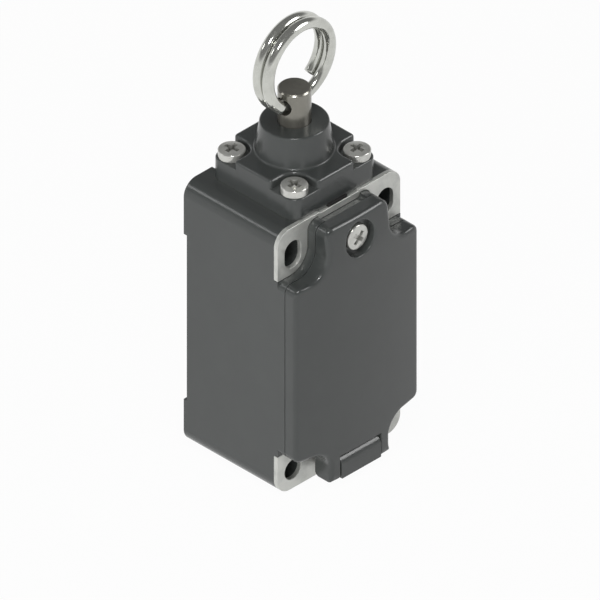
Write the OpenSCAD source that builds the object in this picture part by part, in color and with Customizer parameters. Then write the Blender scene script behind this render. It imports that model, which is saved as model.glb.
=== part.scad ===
// Rope pull switch: a position switch in a 40 mm wide plastic housing, worked by
// a sprung rod with a split ring for a pull rope.
// X runs across the front, -Y points out of the cover, +Z points to the ring.
// The origin is where the axis of the cable entry meets the bottom of the housing.

/* [Housing] */
// Width of the housing
body_w = 40; // [38:0.5:44]
// Height of the housing without the head
body_h = 73; // [71:0.5:80]
// Radius of the four corners seen from the front
body_corner_r = 4; // [3:0.5:4.5]
// Distance from the rod axis back to the mounting face
rear_y = 16.1; // [15.5:0.1:20]
// Distance from the rod axis to the front of the steel fixing plates
plate_y = 14.5; // [14.2:0.1:17]
// Height of the rim that stands out around the opening, from the plates
rim_h = 2.3; // [2:0.1:3]
// Thickness of the side walls and of the wall above the opening
wall = 2.6; // [2:0.1:3]
// Thickness of the rear wall where it is thinnest
rear_wall = 2; // [1.6:0.1:2.6]
// Height of the block under the opening, which holds the cable entry
floor_h = 14.8; // [14.6:0.1:15.2]
// Height of the block above the opening, which carries the head
crown_block_h = 15.8; // [15.5:0.1:16]
// Half width of the dip in the rim's upper edge
rim_dip_half = 6.9; // [6:0.1:7.5]
// Depth of the dip in the rim's upper edge
rim_dip = 1.1; // [0.8:0.1:1.4]
// Radius of the dip's lower corners
rim_dip_r = 0.8; // [0.5:0.1:1]
// Distance from the hinge tongue's round end up to the rim's lower edge
rim_foot = 1.1; // [0.9:0.1:1.3]
// Radius of the inner corners of the opening
opening_r = 2; // [1:0.25:2.5]
// Depth of the hollow between the four rear pads
rear_relief = 1.07; // [0.6:0.01:1.2]
// Width of each rear pad
pad_w = 9.2; // [8.6:0.1:10]
// Height of the lower rear pads
low_pad_h = 12.5; // [11:0.5:13]
// Height of the upper rear pads
top_pad_h = 14.3; // [13.5:0.1:16]
// Radius of the cable entry, bored for an M20 x 1.5 thread
entry_r = 9.25; // [7:0.05:9.4]

/* [Fixing holes] */
// Spacing of the fixing holes across the housing
fix_x = 30; // [29:0.1:31]
// Distance of the upper fixing slots from the top of the housing
fix_drop = 7.5; // [7.3:0.1:7.7]
// Height of the lower fixing holes
fix_low = 5.3; // [5:0.1:5.6]
// Diameter of the fixing holes
fix_d = 5.3; // [4.3:0.1:5.5]
// How much longer than wide the upper fixing slots are
slot_extra = 2; // [0.5:0.25:2.5]
// Thickness of the steel fixing plates
plate_t = 1.15; // [0.8:0.05:1.5]
// Height of the lower plate
low_plate_h = 10.9; // [10.6:0.1:11.1]
// Half width of the shallow dip in the upper plate's top edge
plate_dip_half = 6.4; // [6:0.1:6.8]
// Depth of this dip
plate_dip = 0.35; // [0.2:0.05:0.5]
// Gap between a steel plate and the rim beside it
plate_gap = 0.08; // [0.04:0.01:0.2]

/* [Cover] */
// Gap between the cover and the rim
cover_gap = 0.15; // [0.1:0.01:0.3]
// Thickness of the cover at its sides
cover_t = 3.45; // [3.2:0.05:4]
// How far the cover bulges at its middle
cover_bulge = 1.5; // [0.8:0.1:1.8]
// Radius at which the cover's front curves back towards its top
lean_r = 66; // [50:2:100]
// Distance from the top of the housing down to where this curve starts
lean_drop = 13; // [11:0.5:16]
// Gap between the top of the cover and the top of the housing
cover_top_gap = 1; // [0.6:0.1:1.4]
// Half width of the neck of the cover, between the upper fixing holes
neck_half = 10.1; // [9.6:0.1:10.3]
// Radius of the two upper corners of the neck
neck_r = 2.4; // [1.5:0.1:3]
// Distance of the cover's shoulders from the top of the housing
shoulder_drop = 13.1; // [12.8:0.1:13.4]
// Radius of the shoulders' outer corners
shoulder_r = 2; // [1:0.25:3]
// Radius of the hollow between the neck and a shoulder
notch_r = 5.8; // [5:0.1:6.2]
// Height of the cover's lower edge at its sides
skirt_z = 11.5; // [11.3:0.1:12]
// Radius of the lower hollows around the lower fixing holes
low_notch_r = 5.45; // [5.3:0.05:5.5]
// Height of the middle of these hollows
low_notch_z = 5.8; // [5.6:0.1:5.9]
// Depth of the hollow behind the cover
cover_hollow = 1.9; // [1:0.1:2.2]
// Width of the cover seal
seal_w = 1.2; // [0.8:0.1:1.3]
// Depth of the groove for the cover seal
seal_depth = 1.1; // [0.8:0.1:1.6]
// Distance from the outside of the rim to the cover seal
seal_edge = 0.7; // [0.6:0.05:0.8]

/* [Cover hinge] */
// Distance of the hinge pin in front of the rod axis
hinge_y = 18.7; // [18.6:0.05:18.9]
// Height of the hinge pin
hinge_z = 4.7; // [4.6:0.05:4.8]
// Radius of the hinge pin
hinge_pin_r = 1; // [0.8:0.05:1.2]
// Running clearance of the hinge pin in the housing
hinge_clear = 0.06; // [0.03:0.01:0.1]
// Half width of the housing's hinge tongue
tongue_half = 6.4; // [5.5:0.1:6.6]
// Radius of the tongue around the hinge pin
tongue_r = 3.4; // [3.2:0.05:3.45]
// Gap between the tongue and the cover beside it
tongue_gap = 0.25; // [0.15:0.05:0.4]
// Half width over both hinge lugs of the cover
lug_half = 9.6; // [9.2:0.1:9.7]
// Height of the underside of the tongue and the lugs
lug_z = 2; // [1.9:0.1:2.2]
// How far the lugs reach back past the cover's edge
lug_back = 0.7; // [0.3:0.1:0.9]
// Thickness of the skin that closes the pin's hole in the left lug
pin_skin = 0.8; // [0.5:0.1:1.2]
// Radius of the lugs' lower rear corners
lug_rear_r = 1.2; // [0.6:0.1:1.4]
// Radius of the lugs' lower front corners
lug_front_r = 0.9; // [0.4:0.1:1.2]

/* [Cover screw] */
// Distance of the cover screw from the top of the housing
cover_screw_drop = 7.1; // [6.8:0.1:7.4]
// Radius of the cover screw's head
cover_head_r = 3.3; // [3:0.05:3.5]
// Height of the cover screw's head
cover_head_h = 1.5; // [1.3:0.1:1.8]
// Radius of the recess around the cover screw
recess_r = 4.6; // [4.2:0.1:5]
// Depth of the recess around the cover screw
recess_depth = 2.3; // [2.2:0.1:2.5]
// Radius of the cover screw's thread
cover_thread_r = 1.75; // [1.5:0.05:1.8]
// Play around the cover screw's thread
cover_thread_play = 0.3; // [0.27:0.01:0.35]
// How far the cover screw reaches into the housing
cover_screw_reach = 3.5; // [2.5:0.1:3.6]
// Radius of the brass insert for the cover screw
insert_r = 2.9; // [2.7:0.05:3.2]
// Length of the brass insert
insert_len = 7; // [5:0.25:7.5]

// Angle at which the cover screw came to rest when it was tightened
cover_screw_turn = 47; // [0:1:90]

/* [Screw heads] */
// Radius of the rounding at a screw head's edge
head_round = 0.6; // [0.3:0.05:0.7]
// How far a screw head's middle rises over its edge
head_dome = 0.2; // [0.1:0.05:0.3]
// Width of the cross slots, as a share of the head's radius
cross_w = 0.28; // [0.2:0.02:0.4]
// Length of the cross slots, as a share of the head's radius
cross_len = 1.05; // [0.9:0.05:1.3]
// Height of the cross slots' bottom, as a share of the head's height
cross_floor = 0.4; // [0.3:0.05:0.6]

/* [Head] */
// Width of the square head
head_w = 27.5; // [27.2:0.1:28]
// Radius of the head's four corners
head_corner_r = 3; // [2:0.25:3.25]
// Height of the head's square part
head_h = 8; // [7.5:0.1:9]
// Depth of the screw pockets in the head's corners
pocket_depth = 2.3; // [1.8:0.1:2.6]
// Radius of the screw pockets
pocket_r = 4.2; // [4:0.1:4.3]
// Radius of the cone at its foot
cone_foot_r = 9.25; // [9:0.05:9.5]
// Radius of the cone at its top
cone_top_r = 8.15; // [8:0.05:8.6]
// Height of the cone
cone_h = 7.9; // [7.7:0.1:9]
// Radius of the rounding at the cone's foot and top
cone_fillet = 0.5; // [0.3:0.1:0.7]
// Spacing of the head screws
head_screw_pitch = 20.4; // [20.2:0.1:20.6]
// Radius of the head screws' heads
head_screw_r = 3.27; // [3:0.01:3.4]
// Radius of the head screws' threads
head_thread_r = 1.7; // [1.4:0.05:1.75]
// How far the head screws reach into the housing
head_screw_reach = 4.8; // [3:0.2:5]
// Play around the head screws in the head
head_screw_play = 0.2; // [0.1:0.05:0.3]
// Height of the slot under the head's front edge
lip_gap = 0.35; // [0.2:0.05:0.5]
// Width of the slot under the head's front edge
lip_w = 6.2; // [5:0.2:8]
// Inner radius of the head seal
head_seal_r = 8.4; // [8.2:0.1:9]
// Width of the head seal
head_seal_w = 1.8; // [1:0.1:2]
// Thickness of the head seal
head_seal_t = 1; // [0.6:0.1:1.2]

/* [Rod and spring] */
// How far the rod can be pulled
pull_travel = 4; // [3:0.25:4]
// Radius of the rod
rod_r = 3.95; // [3.9:0.01:4]
// Height of the rod's end above the cone
rod_out = 9.1; // [8.9:0.1:10]
// Chamfer at the rod's end
rod_chamfer = 0.35; // [0.2:0.05:0.5]
// Radius of the rod's thin lower part
stem_r = 2.5; // [2.2:0.05:2.6]
// Distance from the rod's end down to its ring hole
eye_drop = 3.8; // [3.7:0.05:4]
// Radius of the ring hole in the rod
eye_r = 2.3; // [2.2:0.05:2.4]
// How far the rod's thick part reaches down past its bush
rod_below_bush = 4.1; // [3.5:0.1:5]
// Running clearance of the rod in its bush and of the stem in its seat
rod_clear = 0.05; // [0.02:0.01:0.1]
// Radius of the guide bush
bush_r = 6.4; // [6.2:0.1:6.6]
// Length of the guide bush
bush_len = 3.6; // [3:0.1:4]
// Radius of the wiper seal
wiper_r = 5.8; // [5.4:0.1:6.1]
// Thickness of the wiper seal
wiper_t = 1.8; // [1.4:0.1:2]
// Thickness of the lip above the wiper seal
cone_lip = 0.9; // [0.7:0.1:1.2]
// Gap around the rod at the top of the cone
cone_gap = 0.12; // [0.08:0.02:0.3]
// Radius of the spring chamber in the head
chamber_r = 7.2; // [7:0.05:7.4]
// Gap between the spring seat and the chamber
seat_gap = 0.3; // [0.2:0.05:0.4]
// Thickness of the spring seat's flange
seat_t = 1.2; // [0.8:0.1:1.6]
// Height of the spring seat's collar
seat_collar = 2.8; // [1.5:0.1:3]
// Radius of the spring seat's collar
seat_collar_r = 4; // [3.6:0.1:4.2]
// Radius of the passage under the head
passage_r = 5.4; // [5.1:0.1:5.8]
// Thickness of the retaining ring on the stem
clip_t = 0.8; // [0.6:0.1:1]
// Radius of the retaining ring
clip_r = 4.3; // [3.8:0.1:4.6]
// Depth of the groove for the retaining ring
clip_groove = 0.5; // [0.3:0.05:0.7]
// Diameter of the return spring's wire
spring_wire = 0.8; // [0.6:0.05:0.9]
// Mean radius of the return spring
spring_r = 5.6; // [5.3:0.1:5.9]
// Number of turns of the return spring
spring_turns = 3; // [2.5:0.5:3]

/* [Pull ring] */
// Diameter of the ring's wire
ring_wire = 2.9; // [2.5:0.05:3]
// Mean radius of the ring
ring_r = 10.8; // [10.4:0.1:11.5]
// Distance between the ring's two turns
ring_pitch = 3; // [3:0.05:3.2]
// Angle at which the ring's wire starts, from +X towards +Z
ring_start_angle = -45; // [-60:1:-35]
// Angle at which the ring's wire ends
ring_end_angle = 587; // [570:1:600]

/* [Contact block] */
// Width of the contact block
block_w = 29; // [28:0.5:30]
// Gap between the contact block and the top of the opening
block_top_gap = 1.5; // [1:0.1:2.5]
// Height of the contact block
block_h = 32.5; // [32.5:0.1:34]
// Thickness of the contact block's floor
block_wall = 1.6; // [1:0.1:2]
// Distance from the rod axis back to the contact block's rear face
block_rear = 9.5; // [8.5:0.1:10]
// Distance from the rod axis to the front of the block's base
block_front = 6.5; // [6:0.1:7]
// Thickness of the contact block's front plate
block_lid_t = 1.5; // [1:0.1:2]
// Radius of the contact block's outer corners
block_corner_r = 1.5; // [0.5:0.25:2]
// Half width of the plunger's body
plunger_x = 3.6; // [3:0.1:4]
// Half depth of the plunger's body
plunger_y = 2.8; // [2.6:0.1:3]
// Radius of the plunger's round tip
tip_r = 2.4; // [2:0.1:2.5]
// Diameter of the plunger spring's wire
plunger_wire = 0.5; // [0.3:0.05:0.6]
// How far the plunger's tip stands out of the block
tip_out = 2; // [1.5:0.1:4]
// Running clearance of the plunger
plunger_clear = 0.1; // [0.06:0.02:0.2]
// Height of the plunger's foot above the block's underside
plunger_foot = 6.1; // [5.5:0.1:6.2]
// Thickness of the plunger above its upper window
plunger_cap = 1.2; // [0.8:0.1:1.4]
// Height of the upper fixed contacts above the block's underside
upper_contact = 22.2; // [22:0.1:22.3]
// Height of the lower fixed contacts above the block's underside
lower_contact = 15; // [14.9:0.1:15.4]
// Thickness of the brass contact strips
strip_t = 1; // [0.8:0.05:1.1]
// Height of a contact rivet
rivet_h = 0.5; // [0.4:0.05:0.6]
// Radius of a contact rivet
rivet_r = 1.1; // [0.8:0.1:1.3]
// Half length of a moving contact bridge
bridge_half = 7.5; // [7:0.1:7.6]
// Half width of a moving contact bridge
bridge_y = 1.8; // [1.4:0.1:2]
// Thickness of a moving contact bridge
bridge_t = 0.8; // [0.6:0.05:1]
// Height of a bridge spring
bridge_spring_h = 1.4; // [1.1:0.1:1.5]
// Diameter of a bridge spring's wire
bridge_wire = 0.3; // [0.2:0.05:0.35]
// Space left between a bridge and the open contacts at full pull
contact_over = 0.2; // [0.1:0.05:0.3]
// Half spacing of the terminal screws
terminal_x = 10.2; // [10:0.1:10.4]
// Distance of a terminal screw from its contact strip
terminal_off = 4; // [3.7:0.1:4.2]
// Radius of a terminal screw's thread
terminal_r = 1.6; // [1.3:0.05:1.7]
// Length of a terminal screw's thread in the block
terminal_len = 5; // [3:0.5:6]
// Radius of the heads of the terminal and block screws
terminal_head_r = 2.8; // [2.4:0.1:3]
// Height of the heads of the terminal and block screws
terminal_head_h = 1.8; // [1.4:0.1:2]
// Width of a square terminal clamp
clamp_w = 6.4; // [6:0.1:6.6]
// Thickness of a terminal clamp
clamp_t = 1; // [0.8:0.1:1.2]
// Height of the screws that hold the block, above its underside
block_screw_z = 18.6; // [18.5:0.1:18.8]
// Radius of the threads that hold the block
block_screw_r = 1.4; // [1.2:0.05:1.5]
// Radius of the bosses that carry the block
boss_r = 3.2; // [2.8:0.1:3.5]
// Depth of the block screws in the rear wall and bosses
block_screw_bite = 4.6; // [3:0.2:4.6]

/* [Hidden] */
$fn = 72;
BULGE_FN = 720;
LEAN_STEPS = 8;
EPS = 0.01;
CUT = 60;

half_w = body_w / 2;
plate_back = plate_y - plate_t;
rim_y = plate_y + rim_h;
cover_back = rim_y + cover_gap;
cover_edge_y = cover_back + cover_t;
cover_front_y = cover_edge_y + cover_bulge;
bulge_r = (half_w * half_w + cover_bulge * cover_bulge) / (2 * cover_bulge);
shoulder_z = body_h - shoulder_drop;
cover_screw_z = body_h - cover_screw_drop;
cover_top_z = body_h - cover_top_gap;
lean_z = body_h - lean_drop;
fix_top = body_h - fix_drop;
open_top = body_h - crown_block_h;
inner_rear = rear_y - rear_relief - rear_wall;
tongue_front = cover_front_y;
tongue_rise = sqrt(pow(tongue_r, 2) - pow(tongue_front - hinge_y, 2));
rim_low_z = hinge_z + tongue_r + rim_foot;
window_z = hinge_z + tongue_r + tongue_gap;
head_top = body_h + head_h;
pocket_z = head_top - pocket_depth;
cone_top = head_top + cone_h;
screw_at = head_screw_pitch / 2;
rod_top = cone_top + rod_out;
eye_z = rod_top - eye_drop;
wiper_z = cone_top - cone_lip - wiper_t;
bush_z = wiper_z - bush_len;
shoulder_rod_z = bush_z - rod_below_bush;
seat_r = chamber_r - seat_gap;
block_z = open_top - block_top_gap - block_h;
tip_z = block_z + block_h + tip_out;
spring_low = body_h + seat_t;
lid_y = block_front + block_lid_t;
upper_z = block_z + upper_contact;
lower_z = block_z + lower_contact;
foot_z = block_z + plunger_foot;
upper_bridge_z = upper_z + strip_t / 2 + 2 * rivet_h;
lower_bridge_z = lower_z - strip_t / 2 - 2 * rivet_h - pull_travel - contact_over - bridge_t;
plunger_top = upper_bridge_z + bridge_t + bridge_spring_h + plunger_cap;
rivet_x = bridge_half - rivet_r - plunger_clear;
strip_in = rivet_x - rivet_r - plunger_clear;
strip_out = terminal_x + clamp_w / 2;

// A flat shape drawn as x and z, standing from y_back out towards the front
module standing(y_back, depth) {
    translate([0, -y_back, 0]) rotate([90, 0, 0]) linear_extrude(depth) children();
}

// A flat shape drawn as y and z, running across the housing
module across(half) {
    rotate([90, 0, 90]) translate([0, 0, -half]) linear_extrude(2 * half) children();
}

// A rectangle with round corners, from its lower left corner
module round_rect(w, h, r) {
    translate([r, 0]) square([w - 2 * r, h]);
    translate([0, r]) square([w, h - 2 * r]);
    for (x = [r, w - r], y = [r, h - r]) translate([x, y]) circle(r);
}

// Places its children on the left and on the right
module both_sides() {
    children();
    mirror([1, 0]) children();
}

// The housing seen from the front
module body_shape() {
    translate([-half_w, 0]) round_rect(body_w, body_h, body_corner_r);
}

// The cover seen from the front, down to a given height and up to another
module cover_shape(low, top, low_half) {
    difference() {
        union() {
            translate([-half_w, skirt_z]) round_rect(body_w, shoulder_z - skirt_z, shoulder_r);
            polygon([[-half_w + shoulder_r, skirt_z + shoulder_r], [-half_w + shoulder_r, skirt_z],
                [-fix_x / 2, low_notch_z + low_notch_r], [fix_x / 2, low_notch_z + low_notch_r],
                [half_w - shoulder_r, skirt_z], [half_w - shoulder_r, skirt_z + shoulder_r]]);
            foot = max(low, low_notch_z);
            translate([-fix_x / 2, foot]) square([fix_x, skirt_z - foot]);
            translate([-low_half, low]) square([2 * low_half, skirt_z + shoulder_r - low]);
            translate([-neck_half, skirt_z + shoulder_r])
                round_rect(2 * neck_half, top - skirt_z - shoulder_r, neck_r);
            both_sides() translate([neck_half - EPS, shoulder_z - EPS]) difference() {
                square(notch_r);
                translate([notch_r, notch_r]) circle(notch_r);
            }
        }
        both_sides() translate([fix_x / 2, low_notch_z]) circle(low_notch_r);
    }
}

// The rim around the opening, seen from the front
module rim_shape() {
    difference() {
        cover_shape(rim_low_z, cover_top_z, lug_half);
        translate([-rim_dip_half, cover_top_z - rim_dip]) round_rect(2 * rim_dip_half, CUT, rim_dip_r);
    }
}

// Where the two steel plates are let into the housing's front
module plate_beds() {
    translate([-half_w, shoulder_z]) square([body_w, body_h]);
    translate([-half_w, -EPS]) square([body_w, low_plate_h + plate_gap + EPS]);
}

// The four fixing holes: round below, slotted above
module fixing_holes() {
    both_sides() {
        translate([fix_x / 2, fix_low]) circle(d = fix_d);
        for (z = [-slot_extra, slot_extra] / 2) translate([fix_x / 2, fix_top + z]) circle(d = fix_d);
        translate([(fix_x - fix_d) / 2, fix_top - slot_extra / 2]) square([fix_d, slot_extra]);
    }
}

// A loop between two rounded rectangles that follows the rim's opening
module seal_loop() {
    x = half_w - seal_edge;
    low = skirt_z + seal_edge / 2;
    high = shoulder_z - 2 * seal_edge;
    difference() {
        translate([-x, low]) round_rect(2 * x, high - low, opening_r + seal_w);
        translate([-x + seal_w, low + seal_w])
            round_rect(2 * (x - seal_w), high - low - 2 * seal_w, opening_r);
    }
}

// The tongue of the cover's hinge, seen from the side as y and z
module tongue_side() {
    intersection() {
        union() {
            translate([-hinge_y, hinge_z]) circle(tongue_r);
            translate([-tongue_front, lug_z])
                square([tongue_front - plate_back, hinge_z + tongue_rise - lug_z]);
            translate([-hinge_y, lug_z])
                square([hinge_y - plate_back, hinge_z + tongue_r - lug_z]);
        }
        translate([-tongue_front, lug_z]) square([tongue_front - plate_back, CUT]);
    }
}

// The opening seen from the front
module opening_shape() {
    translate([-half_w + wall, floor_h])
        round_rect(body_w - 2 * wall, open_top - floor_h, opening_r);
}

module body_housing() {
    color([0.29, 0.30, 0.30]) difference() {
        union() {
            difference() {
                union() {
                    standing(-rear_y, rear_y + plate_back) body_shape();
                    standing(plate_back - EPS, plate_t + EPS) difference() {
                        body_shape();
                        plate_beds();
                    }
                    standing(plate_back, rim_y - plate_back) rim_shape();
                    across(tongue_half) tongue_side();
                }
                standing(-inner_rear, inner_rear + CUT) opening_shape();
            }
            // bosses on the rear wall that the contact block is screwed to
            standing(-inner_rear - EPS, inner_rear - block_rear + EPS)
                block_screw_spots() circle(boss_r);
        }
        standing(-block_rear - block_screw_bite, block_screw_bite + EPS)
            block_screw_spots() circle(block_screw_r);
        standing(-rear_y - EPS, CUT) fixing_holes();
        rear_hollow();
        // cable entry
        translate([0, 0, -EPS]) cylinder(r = entry_r, h = floor_h + 2 * EPS);
        // passage for the rod, from the head into the opening
        translate([0, 0, open_top - EPS]) cylinder(r = passage_r, h = crown_block_h + 2 * EPS);
        head_screw_places() translate([0, 0, body_h - head_screw_reach])
            cylinder(r = head_thread_r, h = head_screw_reach + EPS);
        standing(rim_y - insert_len, insert_len + EPS) translate([0, cover_screw_z])
            circle(insert_r);
        across(tongue_half + EPS) translate([-hinge_y, hinge_z]) circle(hinge_pin_r + hinge_clear);
    }
}

// The hollow in the mounting face, which leaves four pads at its corners
module rear_hollow() {
    standing(-rear_y - EPS, rear_relief + EPS) {
        translate([-half_w - EPS, low_pad_h])
            square([body_w + 2 * EPS, body_h - top_pad_h - low_pad_h]);
        translate([-half_w + pad_w, -EPS]) square([body_w - 2 * pad_w, body_h + 2 * EPS]);
    }
}

// Where the two screws go that hold the contact block
module block_screw_spots() {
    for (side = [-1, 1]) translate([side * terminal_x, block_z + block_screw_z]) children();
}

module head_screw_places() {
    for (x = [-screw_at, screw_at], y = [-screw_at, screw_at]) translate([x, y, 0]) children();
}

module top_fixing_plate() {
    color([0.72, 0.73, 0.70]) standing(plate_back, plate_t) difference() {
        intersection() {
            body_shape();
            translate([-half_w, shoulder_z + plate_gap]) square([body_w, body_h]);
        }
        rim_clearance();
        translate([-plate_dip_half, body_h - plate_dip]) square([2 * plate_dip_half, body_h]);
        fixing_holes();
    }
}

module bottom_fixing_plate() {
    color([0.72, 0.73, 0.70]) standing(plate_back, plate_t) difference() {
        intersection() {
            body_shape();
            translate([-half_w, 0]) square([body_w, low_plate_h]);
        }
        rim_clearance();
        translate([-tongue_half - plate_gap, lug_z - plate_gap])
            square([2 * (tongue_half + plate_gap), CUT]);
        fixing_holes();
    }
}

// The rim's outline with the plates' gap around it
module rim_clearance() {
    for (x = [-plate_gap, plate_gap], z = [-plate_gap, plate_gap]) translate([x, z]) rim_shape();
}

module cover() {
    color([0.30, 0.31, 0.31]) difference() {
        intersection() {
            union() {
                standing(cover_back, cover_edge_y + cover_bulge - cover_back)
                    cover_shape(lug_z + lug_rear_r, cover_top_z, lug_half);
                across(lug_half) lug_side();
            }
            cover_crown();
        }
        // window for the tongue
        across(tongue_half + tongue_gap) translate([-CUT, -CUT]) square([2 * CUT, CUT + window_z]);
        standing(cover_back - EPS, cover_hollow + EPS) opening_shape();
        standing(cover_back - EPS, seal_depth + EPS) seal_loop();
        standing(cover_back - EPS, CUT) translate([0, cover_screw_z])
            circle(cover_thread_r + cover_thread_play);
        standing(cover_front_y - recess_depth, CUT) translate([0, cover_screw_z]) circle(recess_r);
        // hole for the pin, closed in the left lug
        translate([pin_skin, 0, 0]) across(lug_half) translate([-hinge_y, hinge_z])
            circle(hinge_pin_r);
    }
}

// A round body whose front is the cover's front: bulging, and curving back at its top
module cover_crown() {
    rise = body_h - lean_z;
    translate([0, bulge_r - cover_front_y, 0]) rotate_extrude($fn = BULGE_FN)
        polygon(concat([[0, 0], [bulge_r, 0], [bulge_r, lean_z]],
            [for (i = [1:LEAN_STEPS]) [bulge_r - pow(rise * i / LEAN_STEPS, 2) / (2 * lean_r),
                lean_z + rise * i / LEAN_STEPS]],
            [[0, body_h]]));
}

// The hinge lugs of the cover seen from the side, as y and z
module lug_side() {
    back = cover_back - lug_back;
    depth = cover_front_y - back;
    high = window_z - lug_z;
    translate([-cover_front_y, lug_z]) {
        translate([0, lug_rear_r]) square([depth, high - lug_rear_r]);
        translate([lug_front_r, 0]) square([depth - lug_front_r - lug_rear_r, high]);
        translate([lug_front_r, lug_front_r]) circle(lug_front_r);
        translate([0, lug_front_r]) square([depth / 2, high - lug_front_r]);
        translate([depth - lug_rear_r, lug_rear_r]) circle(lug_rear_r);
    }
}

module cover_gasket() {
    color([0.10, 0.10, 0.10]) standing(rim_y, cover_gap + seal_depth) seal_loop();
}

module hinge_pin() {
    color([0.75, 0.75, 0.74]) translate([(pin_skin - tongue_gap) / 2, 0, 0])
        across(lug_half - (pin_skin + tongue_gap) / 2) translate([-hinge_y, hinge_z])
            circle(hinge_pin_r);
}

// A screw with a pan head and a cross recess, its seat at z = 0 and its head above
module cross_screw(head_r, head_h, thread_r, len) {
    top_r = head_r - head_round;
    side_h = head_h - head_dome - head_round;
    difference() {
        union() {
            rotate_extrude() polygon(concat([[0, 0], [head_r, 0]],
                [for (a = [0:22.5:90]) [top_r + head_round * cos(a), side_h + head_round * sin(a)]],
                [for (t = [0.66, 0.33, 0]) [t * top_r, head_h - head_dome * t * t]]));
            translate([0, 0, -len]) cylinder(r = thread_r, h = len + EPS);
        }
        for (a = [0, 90]) rotate(a)
            translate([-head_r * cross_len / 2, -head_r * cross_w / 2, head_h * cross_floor])
                cube([head_r * cross_len, head_r * cross_w, head_h]);
    }
}

module cover_screw() {
    seat = cover_front_y - recess_depth;
    color([0.78, 0.78, 0.76]) translate([0, -seat, cover_screw_z]) rotate([90, 0, 0])
        rotate(cover_screw_turn) cross_screw(cover_head_r, cover_head_h, cover_thread_r,
            seat - rim_y + cover_screw_reach);
}

module cover_screw_insert() {
    color([0.75, 0.62, 0.32]) standing(rim_y - insert_len, insert_len)
        translate([0, cover_screw_z]) difference() {
            circle(insert_r);
            circle(cover_thread_r + cover_thread_play);
        }
}

module head_housing() {
    color([0.30, 0.31, 0.32]) difference() {
        union() {
            translate([0, 0, body_h]) linear_extrude(head_h) head_shape();
            translate([0, 0, head_top]) rotate_extrude() cone_profile();
        }
        head_screw_places() translate([0, 0, body_h - EPS])
            cylinder(r = head_thread_r + head_screw_play, h = head_h);
        for (a = [0:90:270]) rotate(a) translate([0, 0, pocket_z]) linear_extrude(CUT) pocket_shape();
        translate([0, 0, body_h - EPS]) cylinder(r = chamber_r, h = bush_z - body_h + EPS);
        translate([0, 0, bush_z - EPS]) cylinder(r = bush_r, h = bush_len + EPS);
        translate([0, 0, wiper_z - EPS]) cylinder(r = wiper_r, h = wiper_t + EPS);
        translate([0, 0, wiper_z]) cylinder(r = rod_r + cone_gap, h = CUT);
        translate([0, 0, body_h - EPS]) linear_extrude(head_seal_t + EPS) head_seal_shape();
        translate([-lip_w / 2, -head_w / 2 - EPS, body_h - EPS])
            cube([lip_w, seal_w, lip_gap + EPS]);
    }
}

// The head seen from above
module head_shape() {
    translate([-head_w / 2, -head_w / 2]) round_rect(head_w, head_w, head_corner_r);
}

// One screw pocket seen from above
module pocket_shape() {
    edge = screw_at - pocket_r;
    translate([screw_at, screw_at]) circle(pocket_r);
    translate([edge, screw_at]) square(CUT);
    translate([screw_at, edge]) square(CUT);
}

// Half the cone's outline, with a hollow fillet at its foot and a round edge at its top
module cone_profile() {
    f = cone_fillet;
    polygon(concat([[0, -EPS], [cone_foot_r + f, -EPS], [cone_foot_r + f, 0]],
        [for (a = [22.5:22.5:90]) [cone_foot_r + f - f * sin(a), f - f * cos(a)]],
        [for (a = [0:22.5:90]) [cone_top_r - f + f * cos(a), cone_h - f + f * sin(a)]],
        [[0, cone_h]]));
}

module head_seal_shape() {
    difference() {
        circle(head_seal_r + head_seal_w);
        circle(head_seal_r);
    }
}

module head_gasket() {
    color([0.10, 0.10, 0.10]) translate([0, 0, body_h]) linear_extrude(head_seal_t)
        head_seal_shape();
}

module head_screws() {
    color([0.78, 0.78, 0.76]) head_screw_places() translate([0, 0, pocket_z])
        cross_screw(head_screw_r, pocket_depth, head_thread_r,
            pocket_z - body_h + head_screw_reach);
}

module tube(r_out, r_in, h) {
    linear_extrude(h) difference() {
        circle(r_out);
        circle(r_in);
    }
}

module guide_bush() {
    color([0.80, 0.66, 0.36]) translate([0, 0, bush_z]) tube(bush_r, rod_r + rod_clear, bush_len);
}

module wiper_seal() {
    color([0.08, 0.08, 0.08]) translate([0, 0, wiper_z])
        tube(wiper_r, rod_r + rod_clear, wiper_t);
}

module spring_seat() {
    color([0.70, 0.70, 0.68]) translate([0, 0, body_h]) {
        tube(seat_r, stem_r + rod_clear, seat_t);
        tube(seat_collar_r, stem_r + rod_clear, seat_t + seat_collar);
    }
}

// One point of a wire's skin: a circle of radius w around a coil of radius r and pitch p
function coil_point(r, p, w, a, b) =
    [(r + w * cos(b)) * cos(a), (r + w * cos(b)) * sin(a), p * a / 360 + w * sin(b)];

// A coil of round wire about Z, from angle a0 to a1, with flat ends
module coil(r, p, w, a0, a1, steps, sides) {
    polyhedron(
        points = [for (i = [0:steps], j = [0:sides - 1])
            coil_point(r, p, w, a0 + (a1 - a0) * i / steps, 360 * j / sides)],
        faces = concat(
            [[for (j = [0:sides - 1]) j]],
            [for (i = [0:steps - 1], j = [0:sides - 1])
                [i * sides + j, (i + 1) * sides + j, (i + 1) * sides + (j + 1) % sides]],
            [for (i = [0:steps - 1], j = [0:sides - 1])
                [i * sides + j, (i + 1) * sides + (j + 1) % sides, i * sides + (j + 1) % sides]],
            [[for (j = [sides - 1:-1:0]) steps * sides + j]]));
}

// An upright spring between two heights
module spring_between(low, high, r, wire, turns, steps, sides) {
    pitch = (high - low - wire) / turns;
    translate([0, 0, low + wire / 2]) coil(r, pitch, wire / 2, 0, 360 * turns, steps, sides);
}

module return_spring() {
    color([0.66, 0.66, 0.65])
        spring_between(spring_low, bush_z, spring_r, spring_wire, spring_turns, 54, 8);
}

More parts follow.
